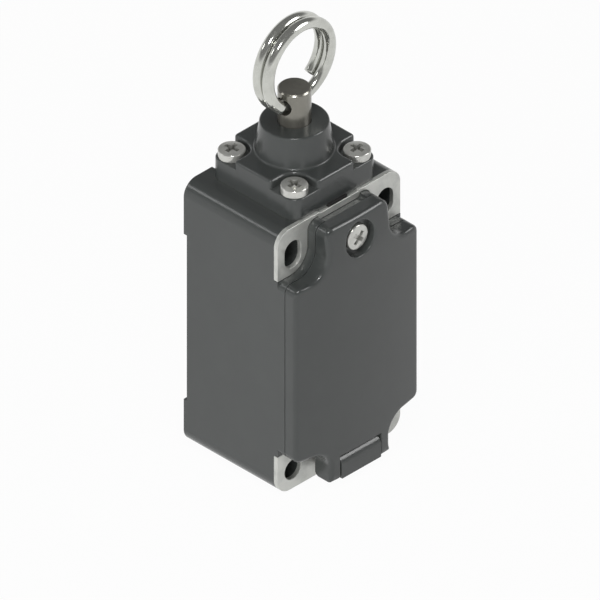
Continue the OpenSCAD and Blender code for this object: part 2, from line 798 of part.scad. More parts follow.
module pull_rod() {
    color([0.52, 0.50, 0.46]) difference() {
        union() {
            translate([0, 0, tip_z]) cylinder(r = stem_r, h = shoulder_rod_z - tip_z + EPS);
            translate([0, 0, shoulder_rod_z])
                cylinder(r = rod_r, h = rod_top - rod_chamfer - shoulder_rod_z);
            translate([0, 0, rod_top - rod_chamfer - EPS])
                cylinder(r1 = rod_r, r2 = rod_r - rod_chamfer, h = rod_chamfer + EPS);
        }
        translate([0, 0, body_h - clip_t]) tube(rod_r, stem_r - clip_groove, clip_t);
        across(rod_r + 1) translate([0, eye_z]) circle(eye_r);
    }
}

module rod_retaining_ring() {
    color([0.60, 0.60, 0.58]) translate([0, 0, body_h - clip_t]) linear_extrude(clip_t)
        difference() {
            circle(clip_r);
            circle(stem_r - clip_groove);
            translate([0, -stem_r * 0.7]) square([CUT, stem_r * 1.4]);
        }
}

module pull_ring() {
    // the wire's lowest point crosses the rod's hole at its middle
    sag = ring_r - sqrt(pow(ring_r, 2) - pow(rod_r, 2));
    color([0.80, 0.80, 0.78]) translate([0, 0, eye_z - sag / 2 + ring_r]) rotate([90, 0, 0])
        translate([0, 0, -ring_pitch * 270 / 360])
        coil(ring_r, ring_pitch, ring_wire / 2, ring_start_angle, ring_end_angle, 84, 14);
}

module contact_block_base() {
    color([0.16, 0.16, 0.17]) difference() {
        standing(-block_rear, block_rear + block_front) block_shape();
        plunger_way();
        bridge_rooms();
        strips(plunger_clear / 2);
        for (x = [-terminal_x, terminal_x], z = terminal_heights()) translate([x, 0, z])
            standing(block_front - terminal_len, CUT) circle(terminal_r);
        standing(-CUT, 2 * CUT) block_screw_spots() circle(block_screw_r + plunger_clear);
    }
}

// The contact block seen from the front
module block_shape() {
    translate([-block_w / 2, block_z]) round_rect(block_w, block_h, block_corner_r);
}

// The heights of the two rows of terminal screws
function terminal_heights() = [upper_z + terminal_off, lower_z - terminal_off];

// The channel that the plunger slides in, with the hole for its tip
module plunger_way() {
    x = plunger_x + plunger_clear;
    y = plunger_y + plunger_clear;
    low = block_z + block_wall;
    translate([-x, -y, low])
        cube([2 * x, 2 * y, plunger_top + pull_travel + contact_over - low]);
    translate([0, 0, low]) cylinder(r = tip_r + plunger_clear, h = CUT);
}

// Rooms for the two bridges and their travel, open to the front
module bridge_rooms() {
    x = bridge_half + rivet_h;
    for (room = [[lower_bridge_z - rivet_h, lower_z + strip_t / 2],
            [upper_z - strip_t / 2, upper_bridge_z + bridge_t + pull_travel + rivet_h]])
        translate([-x, -block_front - EPS, room[0]])
            cube([2 * x, block_front + plunger_y + EPS, room[1] - room[0]]);
}

module contact_block_lid() {
    color([0.20, 0.20, 0.21]) difference() {
        standing(block_front, block_lid_t) block_shape();
        strips(plunger_clear / 2);
        for (x = [-terminal_x, terminal_x], z = terminal_heights()) translate([x, 0, z])
            standing(0, CUT) circle(terminal_r + plunger_clear);
        standing(0, CUT) block_screw_spots() circle(block_screw_r + plunger_clear);
    }
}

module contact_plunger() {
    color([0.86, 0.84, 0.78]) difference() {
        union() {
            translate([-plunger_x, -plunger_y, foot_z])
                cube([2 * plunger_x, 2 * plunger_y, plunger_top - foot_z]);
            translate([0, 0, foot_z]) cylinder(r = tip_r, h = tip_z - foot_z);
        }
        // windows for the bridges and their springs
        y = bridge_y + plunger_clear;
        for (z = [lower_bridge_z - bridge_spring_h, upper_bridge_z]) translate([-CUT, -y, z])
            cube([2 * CUT, 2 * y, bridge_t + bridge_spring_h]);
    }
}

module plunger_spring() {
    color([0.66, 0.66, 0.65])
        spring_between(block_z + block_wall, foot_z, tip_r - plunger_wire, plunger_wire, 4, 48, 6);
}

module contact_bridges() {
    color([0.82, 0.70, 0.45]) {
        bridge(upper_bridge_z, -rivet_h);
        bridge(lower_bridge_z, bridge_t);
    }
}

// A flat bar with a contact rivet at each end
module bridge(z, rivet_z) {
    translate([-bridge_half, -bridge_y, z]) cube([2 * bridge_half, 2 * bridge_y, bridge_t]);
    for (x = [-rivet_x, rivet_x]) translate([x, 0, z + rivet_z]) cylinder(r = rivet_r, h = rivet_h);
}

module bridge_springs() {
    color([0.66, 0.66, 0.65]) {
        for (z = [lower_bridge_z - bridge_spring_h, upper_bridge_z + bridge_t])
            spring_between(z, z + bridge_spring_h, bridge_y - bridge_wire, bridge_wire, 3, 36, 6);
    }
}

// The four brass strips, each grown by a clearance
module strips(grow) {
    for (side = [0, 1], row = [0, 1]) mirror([side, 0, 0])
        strip(row == 0 ? upper_z : lower_z, row == 0 ? 1 : -1, grow);
}

// A tongue under the bridge, a run to the front and an upright terminal pad
module strip(z, up, grow) {
    y = bridge_y + rivet_h;
    low = z - strip_t / 2;
    pad_low = up > 0 ? low : low + strip_t - terminal_off - clamp_w / 2 - strip_t / 2;
    translate([strip_in - grow, -y - grow, low - grow])
        cube([strip_out - strip_in + 2 * grow, 2 * (y + grow), strip_t + 2 * grow]);
    translate([terminal_x - clamp_w / 2 - grow, -lid_y - EPS, low - grow])
        cube([clamp_w + 2 * grow, lid_y, strip_t + 2 * grow]);
    translate([terminal_x - clamp_w / 2, -lid_y - strip_t, pad_low])
        cube([clamp_w, strip_t, terminal_off + clamp_w / 2 + strip_t / 2]);
}

module fixed_contacts() {
    color([0.80, 0.66, 0.36]) difference() {
        union() {
            strips(0);
            for (x = [-rivet_x, rivet_x]) {
                translate([x, 0, upper_z + strip_t / 2]) cylinder(r = rivet_r, h = rivet_h);
                translate([x, 0, lower_z - strip_t / 2 - rivet_h]) cylinder(r = rivet_r, h = rivet_h);
            }
        }
        for (x = [-terminal_x, terminal_x], z = terminal_heights()) translate([x, 0, z])
            standing(lid_y - EPS, CUT) circle(terminal_r + plunger_clear);
    }
}

module terminal_clamps() {
    color([0.74, 0.74, 0.72])
        for (x = [-terminal_x, terminal_x], z = terminal_heights()) translate([x, 0, z])
            standing(lid_y + strip_t, clamp_t) difference() {
                translate([-clamp_w / 2, -clamp_w / 2]) square(clamp_w);
                circle(terminal_r + plunger_clear);
            }
}

module terminal_screws() {
    color([0.78, 0.78, 0.76])
        for (x = [-terminal_x, terminal_x], z = terminal_heights())
            translate([x, -lid_y - strip_t - clamp_t, z]) rotate([90, 0, 0])
                cross_screw(terminal_head_r, terminal_head_h, terminal_r,
                    block_lid_t + strip_t + clamp_t + terminal_len);
}

module block_screws() {
    color([0.78, 0.78, 0.76])
        for (side = [-1, 1])
            translate([side * terminal_x, -lid_y, block_z + block_screw_z]) rotate([90, 0, 0])
                cross_screw(terminal_head_r, terminal_head_h, block_screw_r,
                    lid_y + block_rear + block_screw_bite);
}

body_housing();
top_fixing_plate();
bottom_fixing_plate();
cover();
cover_gasket();
hinge_pin();
cover_screw();
cover_screw_insert();
head_housing();
head_gasket();
head_screws();
guide_bush();
wiper_seal();
spring_seat();
return_spring();
pull_rod();
rod_retaining_ring();
pull_ring();
contact_block_base();
contact_block_lid();
contact_plunger();
plunger_spring();
contact_bridges();
bridge_springs();
fixed_contacts();
terminal_clamps();
terminal_screws();
block_screws();
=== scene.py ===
# %% [markdown]
# # A rope pull switch, dressed in Blender
# The object is a small position switch for machines: a 40 mm wide plastic box with two
# steel fixing plates, a cover on a hinge, and a head with a steel rod. A rope hooks into the
# split ring on the rod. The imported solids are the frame. This lesson keeps their sizes, gives
# each piece soft edges, and builds its finish from shader nodes.

# %% Load the solids
from math import cos, pi, radians, sin

import bmesh
import bpy
from mathutils import Matrix, Vector, geometry


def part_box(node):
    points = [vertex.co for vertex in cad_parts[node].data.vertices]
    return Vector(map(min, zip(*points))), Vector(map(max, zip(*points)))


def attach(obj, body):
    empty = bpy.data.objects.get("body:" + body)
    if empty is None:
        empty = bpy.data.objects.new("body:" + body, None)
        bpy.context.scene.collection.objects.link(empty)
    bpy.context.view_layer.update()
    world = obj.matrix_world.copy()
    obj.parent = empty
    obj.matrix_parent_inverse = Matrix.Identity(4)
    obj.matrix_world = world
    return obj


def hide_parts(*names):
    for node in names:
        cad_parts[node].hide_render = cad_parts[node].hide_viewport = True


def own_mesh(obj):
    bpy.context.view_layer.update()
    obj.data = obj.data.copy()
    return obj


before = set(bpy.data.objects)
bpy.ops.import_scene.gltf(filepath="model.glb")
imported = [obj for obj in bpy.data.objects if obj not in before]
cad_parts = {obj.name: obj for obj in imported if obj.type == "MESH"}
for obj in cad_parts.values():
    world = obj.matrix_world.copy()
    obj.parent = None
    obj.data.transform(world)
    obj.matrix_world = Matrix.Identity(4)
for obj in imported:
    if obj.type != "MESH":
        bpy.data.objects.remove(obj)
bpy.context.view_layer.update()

# %% [markdown]
# ## The camera
# The object is seen from the front left and from above, through a long lens, so that upright
# lines stay upright and parallel. An orthographic camera does that. It looks at the middle of
# the housing, 45 degrees round to the left and about 35 degrees up.

# %% Camera
MM = 0.001


def put_in_scene(name, data):
    thing = bpy.data.objects.new(name, data)
    bpy.context.scene.collection.objects.link(thing)
    return thing


def aim(thing, target, back, distance):
    """Stands a camera or a lamp back from its target, facing it."""
    thing.location = target + back * distance
    thing.rotation_mode = "QUATERNION"
    thing.rotation_quaternion = (-back).to_track_quat("-Z", "Y")


def place_camera(target, turn, rise, width, distance):
    camera = put_in_scene("camera", bpy.data.cameras.new("camera"))
    camera.data.type = "ORTHO"
    camera.data.ortho_scale = width
    camera.data.clip_start, camera.data.clip_end = 0.01, 10
    back = Vector((sin(turn) * cos(rise), -cos(turn) * cos(rise), sin(rise)))
    aim(camera, target, back, distance)
    bpy.context.scene.camera = camera
    return camera


camera = place_camera(target=Vector((0.91, -0.91, 38.22)) * MM, turn=radians(-45),
                      rise=radians(34.7), width=0.1381, distance=1.2)
print("camera at", [round(c, 3) for c in camera.location])

# %% [markdown]
# ## Light
# A white sweep surrounds the object, brightest at the horizon and darker overhead. That
# gradient is what makes a satin face look darker on top than on its sides. Gloss sees a
# steeper one, from full white to dark, which gives metal its contrast. Behind the object the
# camera sees plain white. Nodes make all of this, so a few small helpers come first: each takes
# either a plain number or the output of another node.

# %% Node helpers
def feed(tree, socket, value):
    """Sets a plain value on a socket, or links another node's output to it."""
    if isinstance(value, bpy.types.NodeSocket):
        tree.links.new(value, socket)
    else:
        socket.default_value = value


def calculate(tree, operation, *values):
    node = tree.nodes.new("ShaderNodeMath")
    node.operation = operation
    for socket, value in zip(node.inputs, values):
        feed(tree, socket, value)
    return node.outputs[0]


def fade(tree, value, low, high, to_low=0.0, to_high=1.0):
    """A soft step from to_low to to_high, while the value goes from low to high."""
    node = tree.nodes.new("ShaderNodeMapRange")
    node.interpolation_type = "SMOOTHSTEP"
    for label, number in (("Value", value), ("From Min", low), ("From Max", high),
                          ("To Min", to_low), ("To Max", to_high)):
        feed(tree, node.inputs[label], number)
    return node.outputs["Result"]


def choose(tree, factor, plain, chosen):
    """The plain shader where the factor is 0, and the chosen one where it is 1."""
    mix = tree.nodes.new("ShaderNodeMixShader")
    for socket, value in zip(mix.inputs, (factor, plain, chosen)):
        tree.links.new(value, socket)
    return mix.outputs[0]


print("node helpers ready")

# %% World
HORIZON_END = 0.1
OVERHEAD, MIRROR_OVERHEAD = 0.8, 0.45


def shade_world(horizon, zenith, mirror_zenith):
    """A sky whose strength changes with height, between the horizon's end and overhead."""
    world = bpy.data.worlds.new("sweep")
    bpy.context.scene.world = world
    world.use_nodes = True
    tree = world.node_tree
    tree.nodes.clear()
    split = tree.nodes.new("ShaderNodeSeparateXYZ")
    feed(tree, split.inputs[0], tree.nodes.new("ShaderNodeTexCoord").outputs["Generated"])
    path = tree.nodes.new("ShaderNodeLightPath").outputs

    def ramp(low, high, top):
        return fade(tree, split.outputs["Z"], HORIZON_END, top, low, high)

    def sky(strength):
        background = tree.nodes.new("ShaderNodeBackground")
        background.inputs["Color"].default_value = (1, 1, 1, 1)
        feed(tree, background.inputs["Strength"], strength)
        return background.outputs[0]

    lit = choose(tree, path["Is Glossy Ray"], sky(ramp(horizon, zenith, OVERHEAD)),
                 sky(ramp(1.0, mirror_zenith, MIRROR_OVERHEAD)))
    lit = choose(tree, path["Is Camera Ray"], lit, sky(1.0))
    lit = choose(tree, path["Is Transmission Ray"], lit, sky(1.0))
    feed(tree, tree.nodes.new("ShaderNodeOutputWorld").inputs["Surface"], lit)


shade_world(horizon=0.32, zenith=0.12, mirror_zenith=0.19)
bpy.context.scene.view_settings.view_transform = "Standard"
print("world:", bpy.context.scene.world.name)

# %% [markdown]
# ### Lamps
# Two large soft lamps, one from the left and one from above, give the shape. Three more are
# seen only by gloss: they draw thin lights along the rounded edges and on the metal.

# %% Lamps
LAMP_TARGET, LAMP_DISTANCE = Vector((0, 0, 50 * MM)), 0.8


def soft_lamp(name, direction, size, power, only_glints):
    lamp = put_in_scene(name, bpy.data.lights.new(name, "AREA"))
    lamp.data.shape = "DISK"
    lamp.data.size = size
    lamp.data.energy = power
    lamp.visible_diffuse, lamp.visible_glossy = not only_glints, only_glints
    aim(lamp, LAMP_TARGET, Vector(direction).normalized(), LAMP_DISTANCE)


soft_lamp("left_softbox", (-0.88, -0.32, 0.16), 0.5, 2.45, only_glints=False)
soft_lamp("top_softbox", (-0.30, -0.25, 0.92), 0.5, 2.0, only_glints=False)
soft_lamp("left_edge_light", (-0.57, 0.58, 0.58), 0.16, 0.3, only_glints=True)
soft_lamp("right_edge_light", (0.58, -0.57, 0.58), 0.4, 2.9, only_glints=True)
soft_lamp("rim_light", (-0.40, -0.40, 0.82), 0.14, 2.6, only_glints=True)

# %% [markdown]
# ### Floor
# The floor is a large plain sheet. For the camera and for mirrors it is mixed with a white
# glow, so it disappears into the background and still keeps a faint shadow.

# %% Floor
def mesh_from(build, name):
    """Turns a bmesh, which is a mesh in the making, into a mesh with a name."""
    mesh = bpy.data.meshes.new(name)
    build.to_mesh(mesh)
    build.free()
    return mesh


def lay_floor(half, drop, glow):
    grid = bmesh.new()
    bmesh.ops.create_grid(grid, x_segments=8, y_segments=8, size=half)
    floor = put_in_scene("floor", mesh_from(grid, "floor"))
    floor.location = (0, 0, -drop)
    sheet = bpy.data.materials.new("floor_paper")
    sheet.use_nodes = True
    tree = sheet.node_tree
    paper = tree.nodes["Principled BSDF"]
    paper.inputs["Base Color"].default_value = (0.86, 0.86, 0.86, 1)
    paper.inputs["Roughness"].default_value = 0.9
    light = tree.nodes.new("ShaderNodeEmission")
    light.inputs["Strength"].default_value = 1.0
    path = tree.nodes.new("ShaderNodeLightPath").outputs
    seen = calculate(tree, "MAXIMUM", path["Is Camera Ray"], path["Is Glossy Ray"])
    seen = calculate(tree, "MAXIMUM", seen, path["Is Transmission Ray"])
    share = calculate(tree, "MULTIPLY", seen, glow)
    mixed = choose(tree, share, paper.outputs[0], light.outputs[0])
    feed(tree, tree.nodes["Material Output"].inputs["Surface"], mixed)
    floor.data.materials.append(sheet)


lay_floor(half=3.0, drop=0.4 * MM, glow=0.965)
print("floor laid just under the housing")

# %% [markdown]
# ## Shared effects
# Several finishes need the same small effects, so each effect is a node group. A group reads
# the place on the piece and gives back a mask or a height. The shader itself stays in each
# material. First come two helpers: one builds a group, the other adds noise.

# %% Helpers for node groups
def new_group(name, inputs, outputs):
    """A node group: numbers go in, each with its usual value, and masks or heights come out."""
    group = bpy.data.node_groups.new(name, "ShaderNodeTree")

    def add(label, way):
        return group.interface.new_socket(name=label, in_out=way, socket_type="NodeSocketFloat")

    for label, value in inputs.items():
        add(label, "INPUT").default_value = value
    for label in outputs:
        add(label, "OUTPUT")
    start = group.nodes.new("NodeGroupInput")
    end = group.nodes.new("NodeGroupOutput")
    return group, start.outputs, end.inputs


def noise(tree, place, scale, detail, rough=0.55):
    node = tree.nodes.new("ShaderNodeTexNoise")
    for label, value in (("Vector", place), ("Scale", scale), ("Detail", detail),
                         ("Roughness", rough)):
        feed(tree, node.inputs[label], value)
    return node.outputs["Fac"]


def object_place(tree):
    """The place on the piece, in metres, which moves with the piece."""
    return tree.nodes.new("ShaderNodeTexCoord").outputs["Object"]


print("group helpers ready")

# %% [markdown]
# ### Moulded grain
# The tool that moulds such a housing is spark eroded, which leaves a fine, even, pebbled skin.
# Small round cells from a Voronoi texture, softened with noise, give that skin as a height. A
# slow noise gives the slight cloudiness of moulded plastic.

# %% Group: moulded grain
def make_moulded_grain():
    group, given, result = new_group(
        "moulded grain", {"Grain size mm": 0.25, "Cloud size mm": 12.0}, ["Height", "Cloud"])
    place = object_place(group)
    grains = calculate(group, "DIVIDE", 1 / MM, given["Grain size mm"])
    cells = group.nodes.new("ShaderNodeTexVoronoi")
    cells.feature = "SMOOTH_F1"
    for label, value in (("Vector", place), ("Scale", grains), ("Smoothness", 0.6)):
        feed(group, cells.inputs[label], value)
    fine = noise(group, place, grains, 3.0, 0.6)
    pebble = calculate(group, "ADD", calculate(group, "MULTIPLY", cells.outputs["Distance"], 0.7),
                       calculate(group, "MULTIPLY", fine, 0.5))
    feed(group, result["Height"], pebble)
    clouds = calculate(group, "DIVIDE", 1 / MM, given["Cloud size mm"])
    feed(group, result["Cloud"], noise(group, place, clouds, 5.0, 0.6))
    return group


moulded_grain = make_moulded_grain()
print("group:", moulded_grain.name)

# %% [markdown]
# ### Edge and hollow masks
# Handling polishes the outer edges of a piece, and dust stays in its corners. The materials also
# use these masks for painted light: paler plastic and rubber edges are partly painted sheen, and
# darker metal corners are painted shade. The Bevel node looks at the normals near a point: where
# they turn away, there is an edge. Ambient Occlusion finds the corners. Both become masks that a
# material uses as it likes.

# %% Group: edges and hollows
def make_edges_and_hollows():
    group, given, result = new_group(
        "edges and hollows", {"Edge width mm": 0.4, "Hollow width mm": 2.0}, ["Edge", "Hollow"])
    bevel = group.nodes.new("ShaderNodeBevel")
    hollow = group.nodes.new("ShaderNodeAmbientOcclusion")
    bevel.samples = hollow.samples = 4
    for socket, width in ((bevel.inputs["Radius"], "Edge width mm"),
                          (hollow.inputs["Distance"], "Hollow width mm")):
        feed(group, socket, calculate(group, "MULTIPLY", given[width], MM))
    turn = group.nodes.new("ShaderNodeVectorMath")
    turn.operation = "DOT_PRODUCT"
    feed(group, turn.inputs[0], bevel.outputs["Normal"])
    feed(group, turn.inputs[1], group.nodes.new("ShaderNodeNewGeometry").outputs["Normal"])
    feed(group, result["Edge"], fade(group, turn.outputs["Value"], 0.995, 0.86))
    feed(group, result["Hollow"], fade(group, hollow.outputs["AO"], 0.95, 0.35))
    return group


edges_and_hollows = make_edges_and_hollows()
print("group:", edges_and_hollows.name)

# %% [markdown]
# ### Tool lines
# Turned metal keeps fine rings from the lathe, drawn wire and rolled sheet keep fine lines
# along their length. One group covers them all: it takes any coordinate that runs across the
# lines, in millimetres, and gives back uneven lines and slow patches of tarnish.

# %% Group: tool lines
def make_tool_lines():
    group, given, result = new_group(
        "tool lines", {"Across mm": 0.0, "Lines per mm": 8.0, "Patch size mm": 6.0},
        ["Lines", "Patches"])
    place = object_place(group)
    join = group.nodes.new("ShaderNodeCombineXYZ")
    feed(group, join.inputs["X"],
         calculate(group, "MULTIPLY", given["Across mm"], given["Lines per mm"]))
    wander = calculate(group, "MULTIPLY", noise(group, place, 60.0, 2.0), 0.6)
    feed(group, join.inputs["Y"], wander)
    feed(group, result["Lines"], noise(group, join.outputs[0], 1.0, 6.0, 0.7))
    patches = calculate(group, "DIVIDE", 1 / MM, given["Patch size mm"])
    feed(group, result["Patches"], noise(group, place, patches, 5.0, 0.6))
    return group


tool_lines = make_tool_lines()
print("group:", tool_lines.name)

# %% [markdown]
# ### Helpers that build a material
# Each material starts from Blender's Principled shader. These helpers write a colour, place a
# group in the material, weaken a mask, mix two colours by a mask, join a height to the normal,
# and measure across the tool lines.

# %% Material helpers
finishes = {}


def paint(red, green, blue):
    """A screen colour from 0 to 255 as the linear colour that a shader takes."""
    def linear(c):
        c = c / 255
        return c / 12.92 if c <= 0.04045 else ((c + 0.055) / 1.055) ** 2.4
    return (linear(red), linear(green), linear(blue), 1)


def new_finish(name, metal=0.0, specular=0.5):
    finishes[name] = bpy.data.materials.new(name)
    finishes[name].use_nodes = True
    tree = finishes[name].node_tree
    shader = tree.nodes["Principled BSDF"]
    shader.inputs["Metallic"].default_value = metal
    shader.inputs["Specular IOR Level"].default_value = specular
    return tree, shader


def use_group(tree, group, **values):
    node = tree.nodes.new("ShaderNodeGroup")
    node.node_tree = group
    for label, value in values.items():
        feed(tree, node.inputs[label.replace("_", " ")], value)
    return node.outputs


def weaken(tree, mask, strength):
    return calculate(tree, "MULTIPLY", mask, strength)


def blend_colours(tree, mask, first, second):
    """Sockets 6 and 7 of a Mix node take the colours, and its output 2 gives their mix."""
    mix = tree.nodes.new("ShaderNodeMix")
    mix.data_type = "RGBA"
    feed(tree, mix.inputs["Factor"], mask)
    feed(tree, mix.inputs[6], first)
    feed(tree, mix.inputs[7], second)
    return mix.outputs[2]


def emboss(tree, shader, height, depth_mm, strength):
    bump = tree.nodes.new("ShaderNodeBump")
    bump.inputs["Strength"].default_value = strength
    bump.inputs["Distance"].default_value = depth_mm * MM
    feed(tree, bump.inputs["Height"], height)
    feed(tree, shader.inputs["Normal"], bump.outputs["Normal"])


def from_axis(tree, axis, centre):
    """The distance in mm from an axis: rings round a turned piece."""
    vector = object_place(tree)
    for operation, other in (("SUBTRACT", centre), ("MULTIPLY", [1 - a for a in axis])):
        node = tree.nodes.new("ShaderNodeVectorMath")
        node.operation = operation
        feed(tree, node.inputs[0], vector)
        node.inputs[1].default_value = other
        vector = node.outputs[0]
    far = tree.nodes.new("ShaderNodeVectorMath")
    far.operation = "LENGTH"
    feed(tree, far.inputs[0], vector)
    return calculate(tree, "MULTIPLY", far.outputs["Value"], 1 / MM)


def height_mm(tree):
    """The height in mm: level lines on a piece."""
    split = tree.nodes.new("ShaderNodeSeparateXYZ")
    feed(tree, split.inputs[0], object_place(tree))
    return calculate(tree, "MULTIPLY", split.outputs["Z"], 1 / MM)


print("a mid grey as a shader takes it:", [round(c, 3) for c in paint(128, 128, 128)])

# %% [markdown]
# ## Finishes
# ### Moulded plastics
# The housing, cover and head are one dark grey plastic with a fine satin skin. Edges are a
# little lighter and smoother. The smoothness and part of the lightness are wear from handling,
# and part of the lightness is painted sheen along the edges. Corners hold a trace of pale dust.
# The contact block and its plunger are plainer plastics, so the same function makes them.

# %% Plastics
EDGE_WEAR_AND_SHEEN, EDGE_SMOOTH, CORNER_DUST, CLOUD_DULL = 0.35, 0.10, 0.18, 0.12


def moulded_plastic(name, body, edge, dust, rough, grain_mm, depth_mm, cloud=0.10):
    tree, shader = new_finish(name)
    skin = use_group(tree, moulded_grain, Grain_size_mm=grain_mm, Cloud_size_mm=14.0)
    rims = use_group(tree, edges_and_hollows, Edge_width_mm=0.35, Hollow_width_mm=1.6)
    patchy = weaken(tree, fade(tree, skin["Cloud"], 0.35, 0.7), cloud)
    colour = blend_colours(tree, patchy, body, edge)
    # Paler edges: partly wear from handling, partly painted sheen.
    colour = blend_colours(tree, weaken(tree, rims["Edge"], EDGE_WEAR_AND_SHEEN), colour, edge)
    colour = blend_colours(tree, weaken(tree, rims["Hollow"], CORNER_DUST), colour, dust)
    feed(tree, shader.inputs["Base Color"], colour)
    dull = calculate(tree, "MULTIPLY_ADD", skin["Cloud"], CLOUD_DULL, rough - CLOUD_DULL / 2)
    gloss = calculate(tree, "SUBTRACT", dull, weaken(tree, rims["Edge"], EDGE_SMOOTH))
    feed(tree, shader.inputs["Roughness"], gloss)
    emboss(tree, shader, skin["Height"], depth_mm, 0.6)


moulded_plastic("housing_plastic", paint(72, 75, 74), paint(104, 108, 106), paint(120, 122, 118),
                rough=0.23, grain_mm=0.28, depth_mm=0.005, cloud=0.05)
moulded_plastic("block_plastic", paint(44, 44, 46), paint(70, 70, 72), paint(110, 108, 104),
                rough=0.5, grain_mm=0.2, depth_mm=0.02)
# On this pale plastic the corner colour is darker than the body, so its corners come out darker.
moulded_plastic("plunger_plastic", paint(219, 215, 203), paint(234, 231, 222),
                paint(188, 184, 172), rough=0.38, grain_mm=0.2, depth_mm=0.015)
print("plastics:", sorted(finishes))

# %% [markdown]
# ### Seals
# The seals are black rubber: matt, slightly dusty, with a very fine skin. Rubber reflects less
# than plastic, so its specular level is lower, and the cloud mask brings out its pale bloom.

# %% Rubber
def moulded_rubber(name, body, bloom, rough):
    tree, shader = new_finish(name, specular=0.35)
    skin = use_group(tree, moulded_grain, Grain_size_mm=0.12, Cloud_size_mm=5.0)
    rims = use_group(tree, edges_and_hollows, Edge_width_mm=0.2, Hollow_width_mm=0.8)
    bloomed = weaken(tree, fade(tree, skin["Cloud"], 0.4, 0.75), 0.5)
    colour = blend_colours(tree, bloomed, body, bloom)
    # Paler edges in the bloom's colour: partly wear, partly painted sheen.
    colour = blend_colours(tree, weaken(tree, rims["Edge"], 0.25), colour, bloom)
    feed(tree, shader.inputs["Base Color"], colour)
    dull = calculate(tree, "MULTIPLY_ADD", skin["Cloud"], 0.15, rough)
    feed(tree, shader.inputs["Roughness"], dull)
    emboss(tree, shader, skin["Height"], 0.01, 0.5)


moulded_rubber("seal_rubber", paint(26, 26, 26), paint(62, 61, 59), rough=0.62)
print("seals:", finishes["seal_rubber"].name)

# %% [markdown]
# ### Metals
# A metal's colour is its reflection, so the work is in the roughness and the fine lines. One
# function makes every metal here. It is told which way the lines run: rings round an axis, or
# level lines. Tarnish comes in slow patches and edges are polished bright. Corners are darkened
# towards the dull colour as painted shade.

# %% Metals
HOLLOW_PAINTED_SHADE, RUBBED = 0.6, 0.6
LINES_DULL, TARNISH_DULL, RUBBED_SMOOTH = 0.14, 0.12, 0.08
RING_CENTRE = (0, 0, 0.1046)


def worked_metal(name, bright, dull, rough, across, lines_per_mm, depth_mm, patch_mm=6.0,
                 patchy=0.5, metal=1.0):
    tree, shader = new_finish(name, metal)
    marks = use_group(tree, tool_lines, Across_mm=across(tree), Lines_per_mm=lines_per_mm,
                      Patch_size_mm=patch_mm)
    rims = use_group(tree, edges_and_hollows, Edge_width_mm=0.25, Hollow_width_mm=1.0)
    tarnish_and_shade = weaken(tree, fade(tree, marks["Patches"], 0.38, 0.68), patchy)
    # Painted shade: hollows are darkened towards the dull colour, on top of the tarnish patches.
    painted_hollow_shade = weaken(tree, rims["Hollow"], HOLLOW_PAINTED_SHADE)
    tarnish_and_shade = calculate(tree, "MAXIMUM", tarnish_and_shade, painted_hollow_shade)
    colour = blend_colours(tree, tarnish_and_shade, bright, dull)
    worn = weaken(tree, rims["Edge"], RUBBED)
    feed(tree, shader.inputs["Base Color"], blend_colours(tree, worn, colour, bright))
    satin = calculate(tree, "MULTIPLY_ADD", marks["Lines"], LINES_DULL, rough - LINES_DULL / 2)
    satin = calculate(tree, "ADD", satin, weaken(tree, tarnish_and_shade, TARNISH_DULL))
    satin = calculate(tree, "SUBTRACT", satin, weaken(tree, worn, RUBBED_SMOOTH))
    feed(tree, shader.inputs["Roughness"], satin)
    emboss(tree, shader, marks["Lines"], depth_mm, 0.5)


worked_metal("plate_steel", paint(214, 215, 210), paint(176, 178, 174), 0.36, height_mm,
             lines_per_mm=5.0, depth_mm=0.004, patch_mm=4.0, metal=0.45)
worked_metal("rod_steel", paint(144, 142, 134), paint(124, 122, 114), 0.18, height_mm,
             lines_per_mm=14.0, depth_mm=0.0008, metal=0.62)
worked_metal("ring_steel", paint(203, 204, 198), paint(172, 173, 167), 0.10,
             lambda tree: from_axis(tree, (0, 1, 0), RING_CENTRE),
             lines_per_mm=20.0, depth_mm=0.001, metal=0.85)
worked_metal("spring_steel", paint(196, 196, 194), paint(150, 148, 144), 0.3, height_mm,
             lines_per_mm=16.0, depth_mm=0.003)
worked_metal("brass", paint(226, 196, 124), paint(176, 142, 82), 0.3, height_mm,
             lines_per_mm=10.0, depth_mm=0.003)
print("metals so far:", [name for name in finishes if "steel" in name or name == "brass"])

# %% [markdown]
# The screws are nickel plated. The cover screw has rings round its own axis. The other screws
# share one finish whose rings run round the axis of the switch.

# %% Screw finishes
def screw_finish(name, axis, centre):
    # The dark second colour is mostly painted shade in the cross recess and the hollows; a little
    # of it makes faint tarnish patches.
    worked_metal(name, paint(212, 212, 207), paint(96, 96, 93), 0.16,
                 lambda tree: from_axis(tree, axis, centre), lines_per_mm=9.0, depth_mm=0.001,
                 patch_mm=2.0, patchy=0.12, metal=0.5)


def middle(node):
    low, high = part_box(node)
    return (low + high) / 2


screw_finish("cover_screw_steel", (0, 1, 0), middle("cover_screw"))
screw_finish("screw_steel", (0, 0, 1), (0, 0, 0))
print("screw finishes made")

# %% [markdown]
# ## Outlines read from the solids
# The cover, the head and the steel plates are each one flat outline pushed to a depth, with
# round edges. The outline could be typed in again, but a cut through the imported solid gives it
# exactly. Bisect slices the solid's mesh, the cut edges are walked into loops, and points that
# lie on a straight line are dropped.

# %% Loops
def with_next(loop):
    """Each point of a closed loop with the one after it."""
    return zip(loop, loop[1:] + loop[:1])


def with_neighbours(loop):
    """Each point of a closed loop between the one before it and the one after it."""
    return zip(loop[-1:] + loop[:-1], loop, loop[1:] + loop[:1])


def turn_at(before, here, after):
    """How far a line turns at a point, in radians: positive to the left."""
    one, two = here - before, after - here
    return -one.angle_signed(two, 0)


def area(loop):
    return sum(a.x * b.y - b.x * a.y for a, b in with_next(loop)) / 2


